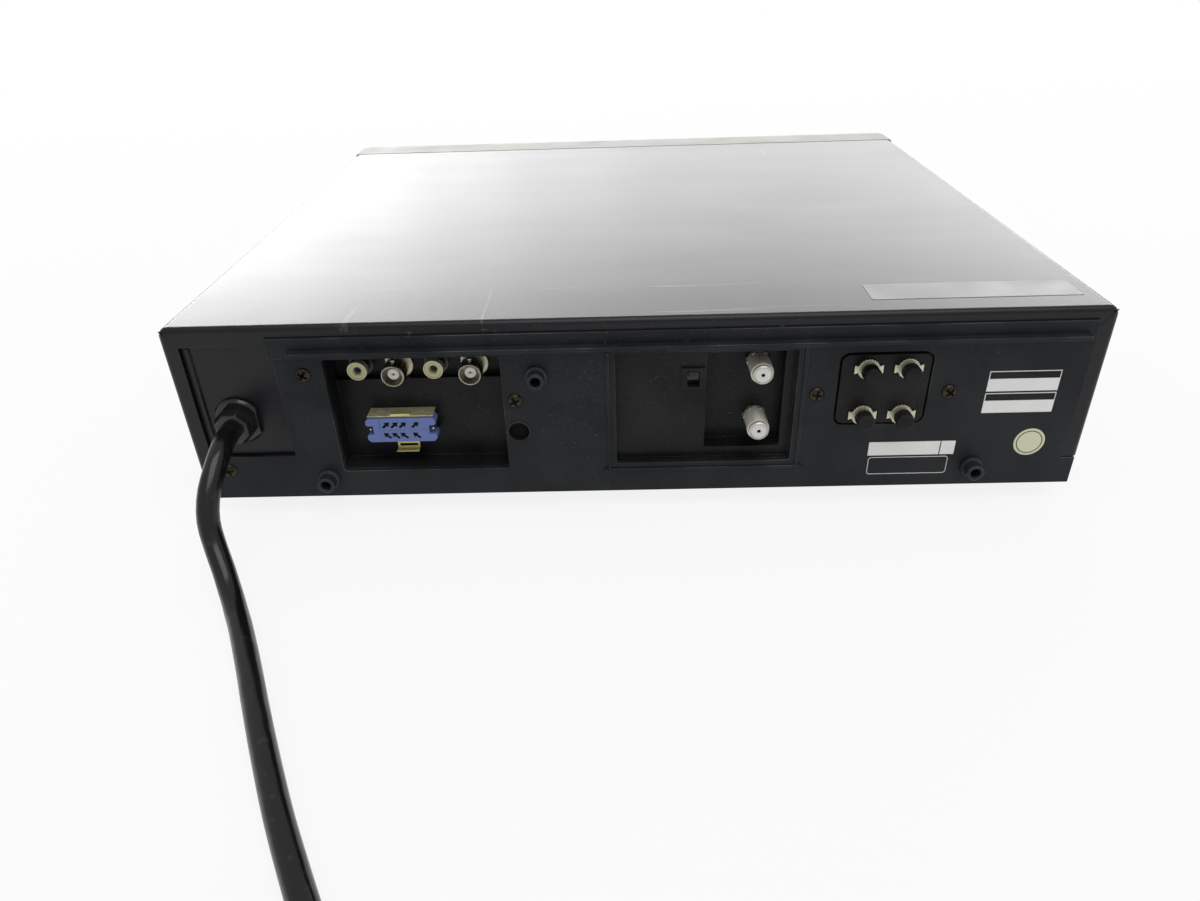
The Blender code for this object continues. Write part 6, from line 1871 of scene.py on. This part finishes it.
def make_floor():
    mesh = bmesh.new()
    bmesh.ops.create_grid(mesh, x_segments=1, y_segments=1, size=floor_reach)
    data = bpy.data.meshes.new("studio_floor")
    mesh.to_mesh(data)
    mesh.free()
    made = bpy.data.objects.new("studio_floor", data)
    made.location = (0, 0, floor_z)
    bpy.context.scene.collection.objects.link(made)
    look = new_look("studio_white", (floor_shade,) * 3, floor_roughness, 0.0, 0.0)
    glow = add_node(look, "Emission", {"Color": (1, 1, 1), "Strength": 1.0})
    spot = add_node(look, "NewGeometry", {}).outputs["Position"]
    away = add_node(look, "VectorMath", {}, operation="LENGTH")
    feed(look, away.inputs[0], spot)
    reach = remap(look, away.outputs["Value"], floor_near, floor_far, floor_lift_share, 1.0)
    share = join(
        look, "MULTIPLY", ray_share(look, ("Is Camera Ray", "Is Glossy Ray", "Is Transmission Ray")),
        reach,
    )
    mix = add_node(look, "MixShader", {"Fac": share})
    shader = look.node_tree.nodes["Principled BSDF"]
    feed(look, mix.inputs[1], shader.outputs[0])
    feed(look, mix.inputs[2], glow.outputs[0])
    feed(look, look.node_tree.nodes["Material Output"].inputs["Surface"], mix.outputs[0])
    data.materials.append(look)


def make_world():
    """White to the camera, and a low even light for everything else."""
    surround = bpy.data.worlds.new("studio")
    surround.use_nodes = True
    ground = surround.node_tree.nodes["Background"]
    feed(surround, ground.inputs["Color"], (1, 1, 1))
    seen = ray_share(surround, ("Is Camera Ray",))
    feed(surround, ground.inputs["Strength"], remap(surround, seen, 0.0, 1.0, world_level, 1.0))
    bpy.context.scene.world = surround


def make_lamp(name, place, aim, width, height, power):
    lamp = bpy.data.lights.new(name, "AREA")
    lamp.shape = "RECTANGLE"
    lamp.size = width
    lamp.size_y = height
    lamp.energy = power
    made = bpy.data.objects.new(name, lamp)
    made.location = place
    away = Vector(place) - Vector(aim)
    made.rotation_euler = away.to_track_quat("Z", "Y").to_euler()
    bpy.context.scene.collection.objects.link(made)


def make_stage():
    """Soft panels stand in a row past the front, brighter on one side, and show in the cover's sheen."""
    make_floor()
    make_world()
    bpy.context.scene.view_settings.view_transform = "Standard"
    width = (panel_first_x - panel_last_x) / (panel_count - 1)
    for number in range(panel_count):
        share = number / (panel_count - 1)
        x = panel_first_x + (panel_last_x - panel_first_x) * share
        radiance = min(panel_dim + panel_rise * (share - panel_dim_share) ** 2, panel_brightest)
        place = (x, -panel_distance, panel_middle_z)
        power = radiance * math.pi * width * panel_height
        make_lamp(f"panel_lamp_{number + 1}", place, (x, 0, panel_middle_z), width, panel_height, power)
    make_lamp("overhead_lamp", overhead_place, lamp_aim, overhead_size, overhead_size, overhead_power)


# Making it all

def build():
    make_camera()
    looks = frame_looks()
    dress_frame(looks)
    make_cord(looks)
    dark_print = moulded("dark_print", (0.004, 0.004, 0.005), 0.5, 0.2)
    white_print = moulded("white_print", (0.84, 0.84, 0.82), 0.5, 0.3)
    cream_print = moulded("cream_print", (0.70, 0.70, 0.50), 0.5, 0.3)
    grey_label = moulded("grey_label", (0.24, 0.24, 0.235), 0.42, 0.3)
    # Near-black: the cover's mitre seams, and painted shade in the adjuster hole, screw recesses, connector
    # slots and aerial holes
    seam_and_painted_shade = moulded("seam_and_painted_shade", (0.002, 0.002, 0.002), 0.7, 0.05)
    pale_core = moulded("pale_core", (0.78, 0.76, 0.69), 0.4, 0.4)
    white_core = moulded("white_core", (0.72, 0.73, 0.71), 0.35, 0.4)
    screw_brass = plated("screw_brass", (0.050, 0.043, 0.028), 0.32, tarnish=0.08)
    dark_nickel = plated("dark_nickel", (0.50, 0.47, 0.40), 0.26, tarnish=0.1)
    grey_face = moulded("grey_face", (0.006, 0.006, 0.0065), 0.5, 0.14)
    bright_gold = plated("bright_gold", (0.78, 0.70, 0.34), 0.35, metallic=0.7)

    make_cover(looks["cover_paint"])
    make_cover_seams(seam_and_painted_shade)
    make_cover_label(grey_label)
    panel = looks["rear_panel_plastic"]
    make_rear_plate(panel)
    make_panel_strip(panel)
    make_pan_bead(panel)
    make_posts(panel)
    make_access_rim(panel, seam_and_painted_shade)
    make_panel_screws(screw_brass, seam_and_painted_shade)
    make_labels(white_print, cream_print, dark_print)
    make_gland(looks["gloss_black"])
    make_phono_jacks(looks["phono_yellow"], looks["gloss_black"], looks["nickel"])
    make_bayonet_jacks(dark_nickel, looks["washer_nickel"], pale_core)
    make_connector(looks["connector_blue"], dark_nickel, seam_and_painted_shade)
    make_latch(looks["latch_steel"], bright_gold)
    make_aerial_jacks(looks["nickel"], white_core, seam_and_painted_shade)
    make_terminal_plate(looks["bay_plastic"])
    make_terminal_washers(looks["washer_nickel"])
    make_thumb_screws(looks["knob_black"], grey_face)
    make_switch_ridges(looks["gloss_black"])
    make_keys(looks["button_silver"], dark_print)
    make_door_ribs(looks["door_grey"])
    make_stage()


build()

bpy.context.view_layer.update()
